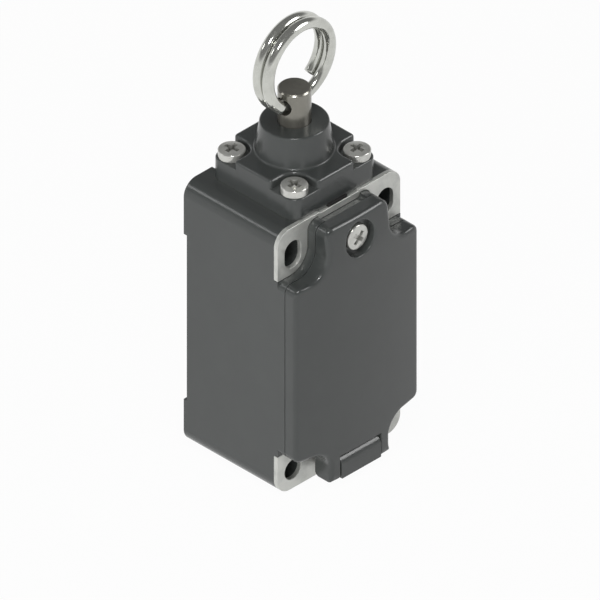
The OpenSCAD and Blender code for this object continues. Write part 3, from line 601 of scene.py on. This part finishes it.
def ring_size(loop):
    """The centre and the mean radius of a round loop."""
    centre = sum(loop, Vector((0, 0))) / len(loop)
    return centre, sum((p - centre).length for p in loop) / len(loop)


def thinned(loop):
    """The loop without points that crowd together or lie on a straight line."""
    least_turn, closest = radians(0.4), 0.07
    straight = [p for before, p, after in with_neighbours(loop)
                if (p - before).length > 0.003 and abs(turn_at(before, p, after)) > 1e-4]
    kept = []
    for p in straight:
        if not kept or (p - kept[-1]).length > closest:
            kept.append(p)
    return [p for before, p, after in with_neighbours(kept)
            if abs(turn_at(before, p, after)) > least_turn]


square = [Vector(p) for p in ((0, 0), (2, 0), (4, 0), (4, 4), (0, 4))]
print("a square of area", area(square), "is thinned to", len(thinned(square)), "points")

# %% Outlines
FRONT_VIEW, TOP_VIEW = 1, 2


def spot(vert):
    """A corner's place, to sort by: every run then starts each loop at the same corner."""
    return tuple(round(c / MM, 3) for c in vert.co)


def walked(cut):
    """The corners of each loop of a cut, in the order in which they follow each other."""
    waiting, loops = set(cut.verts), []
    for start in sorted(cut.verts, key=spot):
        if start not in waiting:
            continue
        waiting.discard(start)
        here, loop = start, [start]
        while True:
            ahead = [v for v in (e.other_vert(here) for e in here.link_edges) if v in waiting]
            if not ahead:
                break
            here = min(ahead, key=spot)
            waiting.discard(here)
            loop.append(here)
        loops.append(loop)
    return loops


def outlines(node, view, level):
    """The loops, in mm, where a level across the view cuts a solid: the outer one first, with
    the material on the left. A front view is cut across Y, and a top view across Z."""
    keep = [i for i in range(3) if i != view]
    cut = bmesh.new()
    cut.from_mesh(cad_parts[node].data)
    bmesh.ops.remove_doubles(cut, verts=cut.verts, dist=0.0005 * MM)
    at, along = Vector((0, 0, 0)), Vector((0, 0, 0))
    at[view], along[view] = level * MM, 1
    bmesh.ops.bisect_plane(cut, geom=cut.verts[:] + cut.edges[:] + cut.faces[:], plane_co=at,
                           plane_no=along, clear_inner=True, clear_outer=True)
    loops = [thinned([Vector((v.co[keep[0]], v.co[keep[1]])) / MM for v in loop])
             for loop in walked(cut)]
    cut.free()
    loops = sorted((loop for loop in loops if len(loop) > 2), key=lambda loop: -abs(area(loop)))
    return [loop if (area(loop) > 0) == (n == 0) else loop[::-1] for n, loop in enumerate(loops)]


for node, view, level in (("cover", FRONT_VIEW, -20), ("top_fixing_plate", FRONT_VIEW, -14),
                          ("head_housing", TOP_VIEW, 80)):
    print(node, "has loops of", [len(loop) for loop in outlines(node, view, level)], "points")

# %% [markdown]
# ## Helpers for round edges
# A loop is moved inwards step by step while its depth follows a quarter circle: that is a round
# edge. These helpers move a loop, add points to its long sides, and cut its sharp corners to
# arcs. Others draw a hole, and tell which points lie inside.

# %% Loops moved, divided and softened
def always(value):
    return lambda p: value


def inward(loop, by):
    """The loop moved to its left, by(point) mm at each point."""
    moved = []
    for before, here, after in with_neighbours(loop):
        one, two = (here - before).normalized(), (after - here).normalized()
        left = Vector((-one.y - two.y, one.x + two.x))
        moved.append(here + left / max(1 + one.dot(two), 0.5) * by(here))
    return moved


def divided(loop, longest):
    """The loop with extra points on its long straight sides."""
    points = []
    for here, after in with_next(loop):
        parts = max(1, round((after - here).length / longest))
        points += [here.lerp(after, n / parts) for n in range(parts)]
    return points


def softened(loop, radius, steps=4):
    """The loop with its sharp corners cut to arcs of radius mm."""
    sharp, most = radians(40), 0.45
    points = []
    for before, here, after in with_neighbours(loop):
        turn = turn_at(before, here, after)
        size = radius * abs(sin(turn / 2) / cos(turn / 2))
        size = min(size, (here - before).length * most, (after - here).length * most)
        if abs(turn) < sharp or size <= 0:
            points.append(here)
            continue
        first = here + (before - here).normalized() * size
        last = here + (after - here).normalized() * size
        for n in range(steps + 1):
            t = n / steps
            points.append(first * (1 - t) ** 2 + here * 2 * t * (1 - t) + last * t ** 2)
    return points


def circle(x, y, radius, sides):
    """A hole's loop: it runs clockwise, so the material is on its left."""
    return [Vector((x + radius * cos(-2 * pi * n / sides), y + radius * sin(-2 * pi * n / sides)))
            for n in range(sides)]


def inside(point, loops):
    """True where an odd number of loops surround the point."""
    odd = False
    for loop in loops:
        for a, b in with_next(loop):
            if (a.y > point.y) != (b.y > point.y):
                if point.x < a.x + (point.y - a.y) * (b.x - a.x) / (b.y - a.y):
                    odd = not odd
    return odd


def field(loops, spacing):
    """A grid of points inside the loops, none of them close to a loop."""
    around = [p for loop in loops for p in loop]
    xs, ys = [p.x for p in loops[0]], [p.y for p in loops[0]]
    for i in range(int((max(xs) - min(xs)) / spacing) + 1):
        for j in range(int((max(ys) - min(ys)) / spacing) + 1):
            p = Vector((min(xs) + (i + 0.5) * spacing, min(ys) + (j + 0.5) * spacing))
            if min((p - q).length for q in around) > spacing * 0.4 and inside(p, loops):
                yield p


print("a softened square has", len(softened(thinned(square), 0.5)), "points")

# %% [markdown]
# A shell is then built from rings of points. Neighbouring rings are bridged with quads, and the
# last ring is closed with a cap. A Delaunay cap can hold holes and extra points inside, so it
# can bulge. The Weighted Normal modifier keeps the flat faces flat beside the small round ones.

# %% Shell
CREASE = radians(35)


def to_front(point, depth):
    """A point of a front view, depth mm towards the front."""
    return Vector((point.x, -depth, point.y)) * MM


def to_top(point, depth):
    """A point of a top view, at a height in mm."""
    return Vector((point.x, point.y, depth)) * MM


def smooth_with_creases(mesh):
    """Smooth shading, with a sharp edge wherever two faces meet at more than the crease angle."""
    stored = mesh.attributes.get("custom_normal")
    if stored:
        mesh.attributes.remove(stored)
    mesh.shade_smooth()
    mesh.set_sharp_from_angle(angle=CREASE)


class Shell:
    """A mesh in the making. A ring is a list of pairs: a point of the view, and its corner."""

    def __init__(self, place):
        self.mesh, self.place = bmesh.new(), place

    def ring(self, loop, depth):
        return [(p, self.mesh.verts.new(self.place(p, depth(p)))) for p in loop]

    def bridge(self, rings):
        for one, two in zip(rings, rings[1:]):
            for n in range(len(one)):
                after = (n + 1) % len(one)
                self.mesh.faces.new((one[n][1], one[after][1], two[after][1], two[n][1]))

    def rounded(self, loop, depth, radius, steps=4, side=1):
        """Rings of a quarter circle, from the wall to the face at depth."""
        rings = []
        for n in range(steps + 1):
            a = pi / 2 * n / steps
            moved = inward(loop, lambda p: radius(p) * (1 - cos(a)))
            drop = [radius(p) * (1 - sin(a)) * side for p in loop]
            rings.append([(q, self.mesh.verts.new(self.place(q, depth(q) - d)))
                          for q, d in zip(moved, drop)])
        return rings

    def cap(self, rings, depth=None, spacing=0):
        """Closes one outer ring and any hole rings, with points inside if spacing is given."""
        loops = [[p for p, vert in ring] for ring in rings]
        spots = [p for loop in loops for p in loop]
        verts = [vert for ring in rings for p, vert in ring]
        edges, start = [], 0
        for loop in loops:
            edges += [(start + n, start + (n + 1) % len(loop)) for n in range(len(loop))]
            start += len(loop)
        if spacing:
            for p in field(loops, spacing):
                spots.append(p)
                verts.append(self.mesh.verts.new(self.place(p, depth(p))))
        found = geometry.delaunay_2d_cdt(spots, edges, [], 0, 1e-6)
        for face in found[2]:
            centre = sum((found[0][i] for i in face), Vector((0, 0))) / len(face)
            corners = [verts[found[3][i][0]] for i in face if found[3][i]]
            if inside(centre, loops) and len(set(corners)) == len(face):
                if not self.mesh.faces.get(corners):
                    self.mesh.faces.new(corners)

    def lathe(self, profile, sides=96):
        """Turns a profile of (radius, height) points round the Z axis."""
        rings = []
        for r, z in profile:
            verts = [self.mesh.verts.new(Vector((r * cos(2 * pi * n / sides),
                                                 r * sin(2 * pi * n / sides), z)) * MM)
                     for n in range(sides)]
            rings.append([(vert.co.xy / MM, vert) for vert in verts])
        self.bridge(rings)
        return rings

    def blank(self, name):
        """The closed mesh as a bare object, for further work."""
        bmesh.ops.remove_doubles(self.mesh, verts=self.mesh.verts, dist=0.001 * MM)
        open_edges = [edge for edge in self.mesh.edges if edge.is_boundary]
        bmesh.ops.holes_fill(self.mesh, edges=open_edges, sides=9)
        bmesh.ops.recalc_face_normals(self.mesh, faces=self.mesh.faces)
        mesh = mesh_from(self.mesh, name)
        smooth_with_creases(mesh)
        return put_in_scene(name, mesh)

    def piece(self, name, body, finish, slot, replaces=()):
        """The finished piece, riding on its body."""
        piece = self.blank(name)
        piece.data.materials.append(finish)
        piece.modifiers.new("flat faces", "WEIGHTED_NORMAL").keep_sharp = True
        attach(piece, body)
        if replaces:
            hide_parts(*replaces)
        low, high = Vector(piece.bound_box[0]) / MM, Vector(piece.bound_box[6]) / MM
        print(name, "from", [round(v, 2) for v in low], "to", [round(v, 2) for v in high])


def box_mm(node):
    """The low and the high corner of a node's box, in mm."""
    return [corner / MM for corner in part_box(node)]


print("shell helpers ready")

# %% [markdown]
# ### The cover
# The cover's front bulges by 1.5 mm from side to side and curves back towards its top. Its
# front edge is well rounded, the window for the hinge tongue is crisper, and the two hinge lugs
# reach further back. Each of these is a depth or a radius that depends on the place, so each is
# a small function of a point of the front view.

# %% Curves of the cover
COVER_BACK, COVER_HOLLOW = 16.95, 1.9
BULGE, LEAN_RADIUS, LEAN_HEIGHT = 1.5, 66, 60
LUG_BACK, LUG_FRONT_ROUND, LUG_REAR_ROUND = 16.25, 0.9, 1.2
LUG_HALF, LUG_TOP = 9.7, 8
WINDOW_HALF, WINDOW_TOP = 7.2, 9
FINE_EDGE, TOE_EDGE, FULL_EDGE, TOE_HEIGHT = 0.25, 0.2, 0.85, 1.5
cover_low, cover_high = box_mm("cover")
bulge_radius = (cover_high.x ** 2 + BULGE ** 2) / (2 * BULGE)


def quarter(up, radius):
    """How far a rounded lower corner has drawn back, at a height above its bottom."""
    return radius - (radius ** 2 - (radius - min(max(up, 0), radius)) ** 2) ** 0.5


def cover_face(p):
    """Depth of the cover's front."""
    bulge = bulge_radius - (bulge_radius ** 2 - p.x ** 2) ** 0.5
    lean = max(0, p.y - LEAN_HEIGHT) ** 2 / (2 * LEAN_RADIUS)
    return -cover_low.y - bulge - lean - quarter(p.y - cover_low.z, LUG_FRONT_ROUND)


def cover_rear(p):
    """Depth of the cover's back: the hinge lugs reach further back and have round heels."""
    if abs(p.x) < LUG_HALF and p.y < LUG_TOP:
        return LUG_BACK + quarter(p.y - cover_low.z, LUG_REAR_ROUND)
    return COVER_BACK


def cover_edge(p):
    """Rounding of the cover's front edge: finer round the tongue's window and the lugs' toes."""
    if abs(p.x) < WINDOW_HALF and p.y < WINDOW_TOP:
        return FINE_EDGE
    return TOE_EDGE + FULL_EDGE * min(1, max(0, p.y - cover_low.z) / TOE_HEIGHT)


def cover_border(p):
    """Width of the strip inside the front edge: small at the lugs and in the neck."""
    narrow = p.y < WINDOW_TOP or (p.y > 68 and abs(p.x) < 6)
    return 0.1 if narrow else 0.4


def lug_steps(loop):
    """Extra points near the lugs' lower corners, where front and back are round."""
    points = []
    for here, after in with_next(loop):
        points.append(here)
        upright = abs(here.x - after.x) < 0.05
        if upright and abs(here.x) < LUG_HALF and min(here.y, after.y) < 3:
            rises = [0.06, 0.2, 0.4, 0.65, 0.9, 1.2, 2.0]
            ups = [cover_low.z + r for r in (rises if here.y < after.y else rises[::-1])]
            points += [Vector((here.x, z)) for z in ups]
    return points


print("the cover's face has a radius of", round(bulge_radius, 1), "mm")

# %% [markdown]
# The shell itself is walls between two rounded edges, a bulged face with the screw's round
# recess, and a back that is hollowed out behind the face.

# %% Cover
OUTLINE_LEVEL, HOLLOW_LEVEL, LEAST_HOLLOW = -20, -18.5, 400
RECESS_FLOOR, SCREW_HOLE = 19.6, 2.05
SCREW_Z = sum(corner.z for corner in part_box("cover_screw")) / 2 / MM
WALL_SPACING, FACE_SPACING = 1.6, 1.1


def make_cover():
    outer, recess = outlines("cover", FRONT_VIEW, OUTLINE_LEVEL)[:2]
    outer = divided(lug_steps(outer), WALL_SPACING)
    hollow = next(loop for loop in outlines("cover", FRONT_VIEW, HOLLOW_LEVEL)[1:]
                  if abs(area(loop)) > LEAST_HOLLOW)
    shell = Shell(to_front)
    back_edge = shell.rounded(outer, cover_rear, always(0.12), 2, -1)
    front_edge = shell.rounded(outer, cover_face, cover_edge, 6)
    shell.bridge(back_edge[::-1] + front_edge)
    rim = shell.rounded(recess, cover_face, always(0.35), 4)
    floor = shell.ring(recess, always(RECESS_FLOOR))
    shell.bridge([floor] + rim)
    hole, hole_back = (shell.ring(circle(0, SCREW_Z, SCREW_HOLE, 36), always(depth))
                       for depth in (RECESS_FLOOR, COVER_BACK))
    shell.cap([floor, hole])
    shell.bridge([hole, hole_back])
    face = [p for p, vert in front_edge[-1]]
    border = shell.ring(inward(face, cover_border), cover_face)
    shell.bridge([front_edge[-1], border])
    shell.cap([border, rim[-1]], cover_face, FACE_SPACING)
    rim_back = shell.ring(hollow, always(COVER_BACK))
    deep = shell.ring(hollow, always(COVER_BACK + COVER_HOLLOW))
    shell.bridge([rim_back, deep])
    shell.cap([deep])
    shell.cap([back_edge[-1], rim_back, hole_back])
    shell.piece("cover_shell", "cover", finishes["housing_plastic"], "housing_plastic", ("cover",))


make_cover()

# %% [markdown]
# ### The steel plates
# The plates are punched from sheet. Punching rounds the upper edges slightly, and the edges of
# the holes a little more, so both get very small quarter circles.

# %% Fixing plates
PLATE_LEVEL, PLATE_EDGE, HOLE_EDGE, PLATE_CORNER = -14, 0.1, 0.12, 0.3


def make_plate(node):
    low, high = box_mm(node)
    shell = Shell(to_front)
    faces, backs = [], []
    for n, loop in enumerate(outlines(node, FRONT_VIEW, PLATE_LEVEL)):
        loop = softened(loop, PLATE_CORNER, 2)
        front = shell.rounded(loop, always(-low.y), always(HOLE_EDGE if n else PLATE_EDGE), 3)
        back = shell.ring(loop, always(-high.y))
        shell.bridge([back] + front)
        faces.append(front[-1])
        backs.append(back)
    shell.cap(faces)
    shell.cap(backs)
    shell.piece(node + "_sheet", "housing", finishes["plate_steel"], "plate_steel", (node,))


make_plate("top_fixing_plate")
make_plate("bottom_fixing_plate")

# %% [markdown]
# ### The head
# The square head is two slabs: a full one up to the floor of the screw pockets, and one above
# it with the four pockets cut out. A turned cone with a rounded rim stands on top. Its bore
# goes down past the wiper and the bush into the round chamber of the return spring.

# %% Head
POCKET_FLOOR, HEAD_TOP = 78.7, 81.0
FOOT_LEVEL, UPPER_LEVEL, ROD_LEVEL = 77, 80, 87
SINK = 0.02
CONE_FOOT, CONE_RIM, CONE_FILLET, ROD_PLAY = 9.25, 8.15, 0.5, 0.04
rod_r = max(p.length for p in outlines("pull_rod", TOP_VIEW, ROD_LEVEL)[0])


def ledge(p):
    """Rounding of the lower slab's top edge: only where a pocket lies behind it."""
    return 0.35 if min(abs(p.x), abs(p.y)) > 6.6 else 0.0


def cone_profile(cone_top, chamber_r):
    """The cone up its outside and over its rim, then down the bore's steps."""
    fillet, bore, bottom = CONE_FILLET, rod_r + ROD_PLAY, POCKET_FLOOR - SINK
    profile = [(CONE_FOOT + fillet - fillet * sin(a), HEAD_TOP + fillet - fillet * cos(a))
               for a in (pi / 8 * n for n in range(5))]
    profile += [(CONE_RIM - fillet + fillet * cos(a), cone_top - fillet + fillet * sin(a))
                for a in (pi / 10 * n for n in range(6))]
    profile += [(bore + 0.06, cone_top), (bore, cone_top - 0.06)]
    last_r = bore
    for seat in ("wiper_seal", "guide_bush"):
        low, high = box_mm(seat)
        profile += [(last_r, high.z), (high.x, high.z)]
        last_r, last_z = high.x, low.z
    return profile + [(last_r, last_z), (chamber_r, last_z), (chamber_r, bottom)]


def make_head():
    """The upper slab starts a little below the pocket floor, so no two faces lie in one plane."""
    low, high = box_mm("head_housing")
    foot = divided(outlines("head_housing", TOP_VIEW, FOOT_LEVEL)[0], 1.0)
    upper, chamber = outlines("head_housing", TOP_VIEW, UPPER_LEVEL)
    upper = divided(softened(upper, 0.9), 1.5)
    chamber_r = ring_size(chamber)[1]
    shell = Shell(to_top)
    base = shell.rounded(foot, always(low.z), always(0.15), 2, -1)
    shelf = shell.rounded(foot, always(POCKET_FLOOR), ledge, 3)
    shell.bridge(base[::-1] + shelf)
    hole = [shell.ring(circle(0, 0, chamber_r, 96), always(z)) for z in (low.z, POCKET_FLOOR)]
    shell.bridge(hole)
    shell.cap([shelf[-1], hole[1]])
    shell.cap([base[-1], hole[0]])
    walls = shell.ring(upper, always(POCKET_FLOOR - SINK))
    edge = shell.rounded(upper, always(HEAD_TOP), always(0.85), 5)
    shell.bridge([walls] + edge)
    cone = shell.lathe(cone_profile(high.z, chamber_r))
    shell.cap([walls, cone[-1]])
    shell.cap([edge[-1], cone[0]])
    shell.piece("head_shell", "housing", finishes["housing_plastic"], "housing_plastic",
                ("head_housing",))


make_head()

# %% [markdown]
# ### Cutting with blocks
# The head's front foot has a small notch. A block in the place of the notch is subtracted with
# a Boolean modifier. The modifier is applied at once, because it leaves stray normals: the
# result gets its creases and its weighted normals again. The screws use the same cutters.

# %% Cutters
def prism(base, top):
    """A four-cornered cutter, its corners in mm."""
    block = bmesh.new()
    low, high = ([block.verts.new(Vector(p) * MM) for p in ring] for ring in (base, top))
    block.faces.new(low[::-1])
    block.faces.new(high)
    for n in range(4):
        after = (n + 1) % 4
        block.faces.new((low[n], low[after], high[after], high[n]))
    bmesh.ops.recalc_face_normals(block, faces=block.faces)
    return put_in_scene("cutter", mesh_from(block, "cutter"))


def slab(low, high):
    (x, y, z), (u, v, w) = low, high
    return prism([(x, y, z), (u, y, z), (u, v, z), (x, v, z)],
                 [(x, y, w), (u, y, w), (u, v, w), (x, v, w)])


def settle(piece):
    """Applies the piece's modifiers, marks its sharp edges again, and weights its normals."""
    piece.data = bpy.data.meshes.new_from_object(
        piece.evaluated_get(bpy.context.evaluated_depsgraph_get()))
    piece.modifiers.clear()
    smooth_with_creases(piece.data)
    piece.modifiers.new("flat faces", "WEIGHTED_NORMAL").keep_sharp = True


def carve(piece, cutters):
    """Cuts the cutters out of a piece for good, and removes them."""
    piece.modifiers.clear()
    for cutter in cutters:
        cut = piece.modifiers.new("cut", "BOOLEAN")
        cut.object, cut.solver = cutter, "EXACT"
    settle(piece)
    for cutter in cutters:
        bpy.data.objects.remove(cutter)


NOTCH_HALF, NOTCH_DEEP, NOTCH_HIGH = 3.1, 1.4, 0.4
head_low = box_mm("head_housing")[0]
notch = slab((-NOTCH_HALF, head_low.y - 1, head_low.z - 1),
             (NOTCH_HALF, head_low.y + NOTCH_DEEP, head_low.z + NOTCH_HIGH))
carve(bpy.data.objects["head_shell"], [notch])
print("notch cut,", 2 * NOTCH_HALF, "mm wide")

# %% [markdown]
# A thin strip of black rubber lies in the notch, above the upper plate. It is painted shade: it
# makes the notch dark.

# %% Painted shade in the notch
def make_notch_shade_strip(half, low, high):
    """A strip with a round front edge, along X; low and high are corners of its side view."""
    shell = Shell(to_top)
    strip = [Vector((half, high[0])), Vector((-half, high[0])), Vector((-half, low[0])),
             Vector((half, low[0]))]
    strip = softened(strip, 0.3, 3)
    base = shell.ring(strip, always(low[1]))
    edge = shell.rounded(strip, always(high[1]), always(0.06), 2)
    shell.bridge([base] + edge)
    shell.cap([edge[-1]])
    shell.cap([base])
    shell.piece("notch_shade_strip", "housing", finishes["seal_rubber"], "seal_rubber")


# The black strip is painted shade in the notch.
make_notch_shade_strip(NOTCH_HALF, (head_low.y - 0.5, head_low.z - 0.3), (head_low.y + 0.9, head_low.z + 0.32))

# %% [markdown]
# ### The housing and the rod
# The housing is a deep tray with many small features, so its own solid is kept: its flat
# triangles are joined into whole faces, and a Bevel modifier rounds the edges that stand out.
# Only the outline of the rear face and the hinge tongue are rounded, as the front meets the
# cover and the plates. The rod is a plain turned solid, and all its edges are broken slightly.

# %% Housing and rod
def joined_faces(mesh):
    shell = bmesh.new()
    shell.from_mesh(mesh)
    bmesh.ops.remove_doubles(shell, verts=shell.verts, dist=0.0005 * MM)
    bmesh.ops.dissolve_limit(shell, angle_limit=radians(0.3), verts=shell.verts,
                             edges=shell.edges)
    return shell


def soft_shell(node, body, slot, width, chosen):
    """A copy of a solid with chosen edges rounded, width mm across. A slot is a finish's name."""
    shell = joined_faces(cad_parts[node].data)
    weight = shell.edges.layers.float.new("bevel_weight_edge")
    count = 0
    for edge in shell.edges:
        if len(edge.link_faces) == 2 and edge.calc_face_angle_signed(0) > CREASE:
            at = (edge.verts[0].co + edge.verts[1].co) / 2 / MM
            edge[weight] = float(chosen(at))
            count += edge[weight] > 0
    mesh = mesh_from(shell, node + "_shell")
    smooth_with_creases(mesh)
    mesh.materials.append(finishes[slot])
    piece = put_in_scene(node + "_shell", mesh)
    rounding = piece.modifiers.new("soft edges", "BEVEL")
    rounding.limit_method = "WEIGHT"
    rounding.width = width * MM
    rounding.segments = 3
    rounding.use_clamp_overlap = True
    rounding.loop_slide = False
    settle(piece)
    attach(piece, body)
    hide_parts(node)
    print(piece.name, "rounded edges:", count)


REAR_FACE, TONGUE_FRONT, TONGUE_SIDE = 15.9, -17.2, 6.3


def housing_edge(at):
    """The outline of the rear face and of the tongue; nothing inside or beside the plates."""
    return at.y > REAR_FACE or (at.y < TONGUE_FRONT and abs(at.x) > TONGUE_SIDE)


soft_shell("body_housing", "housing", "housing_plastic", 0.45, housing_edge)
soft_shell("pull_rod", "pull_rod", "rod_steel", 0.05, always(True))

# %% [markdown]
# ### The screws
# Each screw is turned: a shank, a head with a round edge, and a slightly domed top. The cross
# is pressed in, so its walls slope: two tapered cutters make it. The places, the radii and the
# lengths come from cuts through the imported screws.

# %% A turned screw
HEAD_EDGE, HEAD_DOME, SEAT_EDGE, SHANK_CHAMFER = 0.38, 0.3, 0.1, 0.25
CROSS_DEPTH = 0.7
CROSS_FLOOR_REACH, CROSS_FLOOR_HALF = 0.44, 0.42
CROSS_TOP_REACH, CROSS_TOP_HALF = 0.6, 0.54


def cross_cutters(head_r, head_h, turn):
    """Two blades across each other. Depth and reach are shares of the head's height and radius."""
    levels = ((CROSS_FLOOR_REACH * head_r, CROSS_FLOOR_HALF, head_h - CROSS_DEPTH * head_h),
              (CROSS_TOP_REACH * head_r, CROSS_TOP_HALF, head_h + 0.15))
    cutters = []
    for a in (turn, turn + 90):
        along = Vector((cos(radians(a)), sin(radians(a)), 0))
        side = Vector((-along.y, along.x, 0))
        cutters.append(prism(*([along * reach * p + side * half * q + Vector((0, 0, z))
                                for p, q in ((-1, -1), (1, -1), (1, 1), (-1, 1))]
                               for reach, half, z in levels)))
    return cutters


def turned_screw(head_r, head_h, shank_r, shank, turn):
    """A screw along Z with the seat of its head at zero."""
    flat_r, wall_top = head_r - HEAD_EDGE, head_h - HEAD_DOME - HEAD_EDGE
    profile = [(0, -shank), (shank_r - SHANK_CHAMFER, -shank), (shank_r, SHANK_CHAMFER - shank),
               (shank_r, 0), (head_r - SEAT_EDGE, 0), (head_r, SEAT_EDGE)]
    profile += [(flat_r + HEAD_EDGE * cos(a), wall_top + HEAD_EDGE * sin(a))
                for a in (pi / 12 * n for n in range(7))]
    profile += [(flat_r * t, head_h - HEAD_DOME * t * t) for t in (0.8, 0.6, 0.4, 0.2, 0)]
    shell = Shell(to_top)
    shell.lathe(profile, 64)
    screw = shell.blank("screw_blank")
    carve(screw, cross_cutters(head_r, head_h, turn))
    mesh = screw.data
    bpy.data.objects.remove(screw)
    return mesh


print("a cross reaches", round(CROSS_TOP_REACH * 100), "% of the way to the head's edge")

# %% [markdown]
# The cover screw lies along Y and the head screws stand along Z. A cut through the heads gives
# their centres and radii, and a cut through the shanks gives theirs.

# %% Screws in their places
def dress_screws(node, body, view, head_level, shank_level, head_h, turns, finish):
    """Turned screws in the places of a node's solids; the heads face against the shanks."""
    low, high = box_mm(node)
    shank_r = ring_size(outlines(node, view, shank_level)[0])[1]
    joined = bmesh.new()
    heads = [ring_size(loop) for loop in outlines(node, view, head_level)]
    for (centre, head_r), turn in zip(sorted(heads, key=lambda h: (h[0].y, h[0].x)), turns):
        length = high[view] - low[view] - head_h
        mesh = turned_screw(head_r, head_h, shank_r, length, turn)
        if view == TOP_VIEW:
            place = Matrix.Translation(Vector((centre.x, centre.y, high.z - head_h)) * MM)
        else:
            place = (Matrix.Translation(Vector((centre.x, low.y + head_h, centre.y)) * MM)
                     @ Matrix.Rotation(radians(90), 4, "X"))
        mesh.transform(place)
        joined.from_mesh(mesh)
    mesh = mesh_from(joined, node + "_turned")
    smooth_with_creases(mesh)
    mesh.materials.append(finish)
    piece = put_in_scene(mesh.name, mesh)
    piece.modifiers.new("flat faces", "WEIGHTED_NORMAL").keep_sharp = True
    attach(piece, body)
    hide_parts(node)
    print(piece.name, "screws:", len(heads), "head radius", round(heads[0][1], 2))


dress_screws("head_screws", "housing", TOP_VIEW, head_level=79.5, shank_level=75, head_h=2.3,
             turns=(0, 4, 8, -6), finish=finishes["screw_steel"])
cover_screw_top = box_mm("cover_screw")[0].y
dress_screws("cover_screw", "cover_screw", FRONT_VIEW, head_level=cover_screw_top + 1.2,
             shank_level=cover_screw_top + 3, head_h=1.5, turns=(47,),
             finish=finishes["cover_screw_steel"])

# %% [markdown]
# ### Inner parts
# The parts inside show only when the cover is open, and their solids are fine as they are. Each
# keeps its solid and gets a finish in place of the plain one.

# %% Inner parts
carried_over = {
    "seal_rubber": ("cover_gasket", "head_gasket", "wiper_seal"),
    "screw_steel": ("hinge_pin", "terminal_screws", "block_screws"),
    "brass": ("cover_screw_insert", "guide_bush", "contact_bridges", "fixed_contacts"),
    "spring_steel": ("spring_seat", "rod_retaining_ring", "plunger_spring", "bridge_springs"),
    "block_plastic": ("contact_block_base", "contact_block_lid"),
    "plunger_plastic": ("contact_plunger",),
    "plate_steel": ("terminal_clamps",)}
for finish, nodes in carried_over.items():
    for node in nodes:
        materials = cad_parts[node].data.materials
        materials.clear()
        materials.append(finishes[finish])
print("carried over:", sum(len(nodes) for nodes in carried_over.values()))

# %% [markdown]
# ### Wire
# The return spring and the split ring are both coils of round wire. A Screw modifier could turn
# a circle into a coil, but it leaves flat ends. Here each step of the coil places a ring of
# corners square to the wire, and a few more steps at both ends shrink it to a round tip.

# %% A coil of wire
TIP_STEPS, TIP_CLOSE, TIP_LENGTH = 4, 0.86, 0.12


def wire_coil(name, radius, pitch, wire, start, end, steps, sides, finish):
    """A coil about Z from one angle to another, with its two ends rounded off."""
    coil = bmesh.new()
    rings = []
    for step in range(-TIP_STEPS, steps + TIP_STEPS + 1):
        share = min(max(step / steps, 0), 1)
        turn = radians(start + (end - start) * share)
        past = (-step if step < 0 else step - steps if step > steps else 0) / TIP_STEPS * pi / 2
        thin = cos(past * TIP_CLOSE)
        push = sin(past) * wire * TIP_LENGTH * (1 if step > 0 else -1)
        outward = Vector((cos(turn), sin(turn), 0))
        tangent = Vector((-sin(turn), cos(turn), pitch / (2 * pi * radius))).normalized()
        centre = outward * radius + Vector((0, 0, pitch * turn / (2 * pi))) + tangent * push
        up = outward.cross(tangent).normalized()
        rings.append([coil.verts.new((centre + (outward * cos(a) + up * sin(a)) * wire / 2 * thin)
                                     * MM) for a in (2 * pi * n / sides for n in range(sides))])
    for one, two in zip(rings, rings[1:]):
        for side in range(sides):
            after = (side + 1) % sides
            coil.faces.new((one[side], one[after], two[after], two[side]))
    coil.faces.new(rings[0][::-1])
    coil.faces.new(rings[-1])
    bmesh.ops.recalc_face_normals(coil, faces=coil.faces)
    for face in coil.faces:
        face.smooth = True
    mesh = mesh_from(coil, name)
    mesh.materials.append(finish)
    return put_in_scene(name, mesh)


print("wire tips take", TIP_STEPS, "steps")

# %% [markdown]
# The return spring stands round the rod, between the head and the spring seat. A pull on the
# rod flattens it.

# %% Return spring
SPRING_WIRE, SPRING_TURNS, STROKE = 0.8, 3, 4
spring_low, spring_high = box_mm("return_spring")
pitch = (spring_high.z - spring_low.z - SPRING_WIRE) / SPRING_TURNS
spring = wire_coil("return_spring_wire", spring_high.x - SPRING_WIRE / 2, pitch, SPRING_WIRE, 0,
                   360 * SPRING_TURNS, 150, 14, finishes["spring_steel"])
spring.data.transform(Matrix.Translation((0, 0, (spring_low.z + SPRING_WIRE / 2) * MM)))
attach(spring, "housing")
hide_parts("return_spring")
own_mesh(spring)
print("spring from", round(spring_low.z, 2), "to", round(spring_high.z, 2), "mm")

# %% [markdown]
# The split ring is one and three quarter turns of thick wire. Its coil is made lying down,
# centred on the middle of its run, and then stood up on the rod's cross hole.

# %% Split ring
RING_RADIUS, RING_PITCH, RING_WIRE = 10.8, 3.0, 2.9
RING_START, RING_END, RING_MIDDLE = -45, 587, 270
ring = wire_coil("split_ring", RING_RADIUS, RING_PITCH, RING_WIRE, RING_START, RING_END, 180, 24,
                 finishes["ring_steel"])
centred = Matrix.Translation((0, 0, -RING_PITCH * RING_MIDDLE / 360 * MM))
raised = Matrix.Translation((0, 0, middle("pull_ring").z))
ring.data.transform(raised @ Matrix.Rotation(radians(90), 4, "X") @ centred)
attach(ring, "pull_ring")
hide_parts("pull_ring")
print("ring box:", [[round(v, 2) for v in corner] for corner in box_mm("pull_ring")])
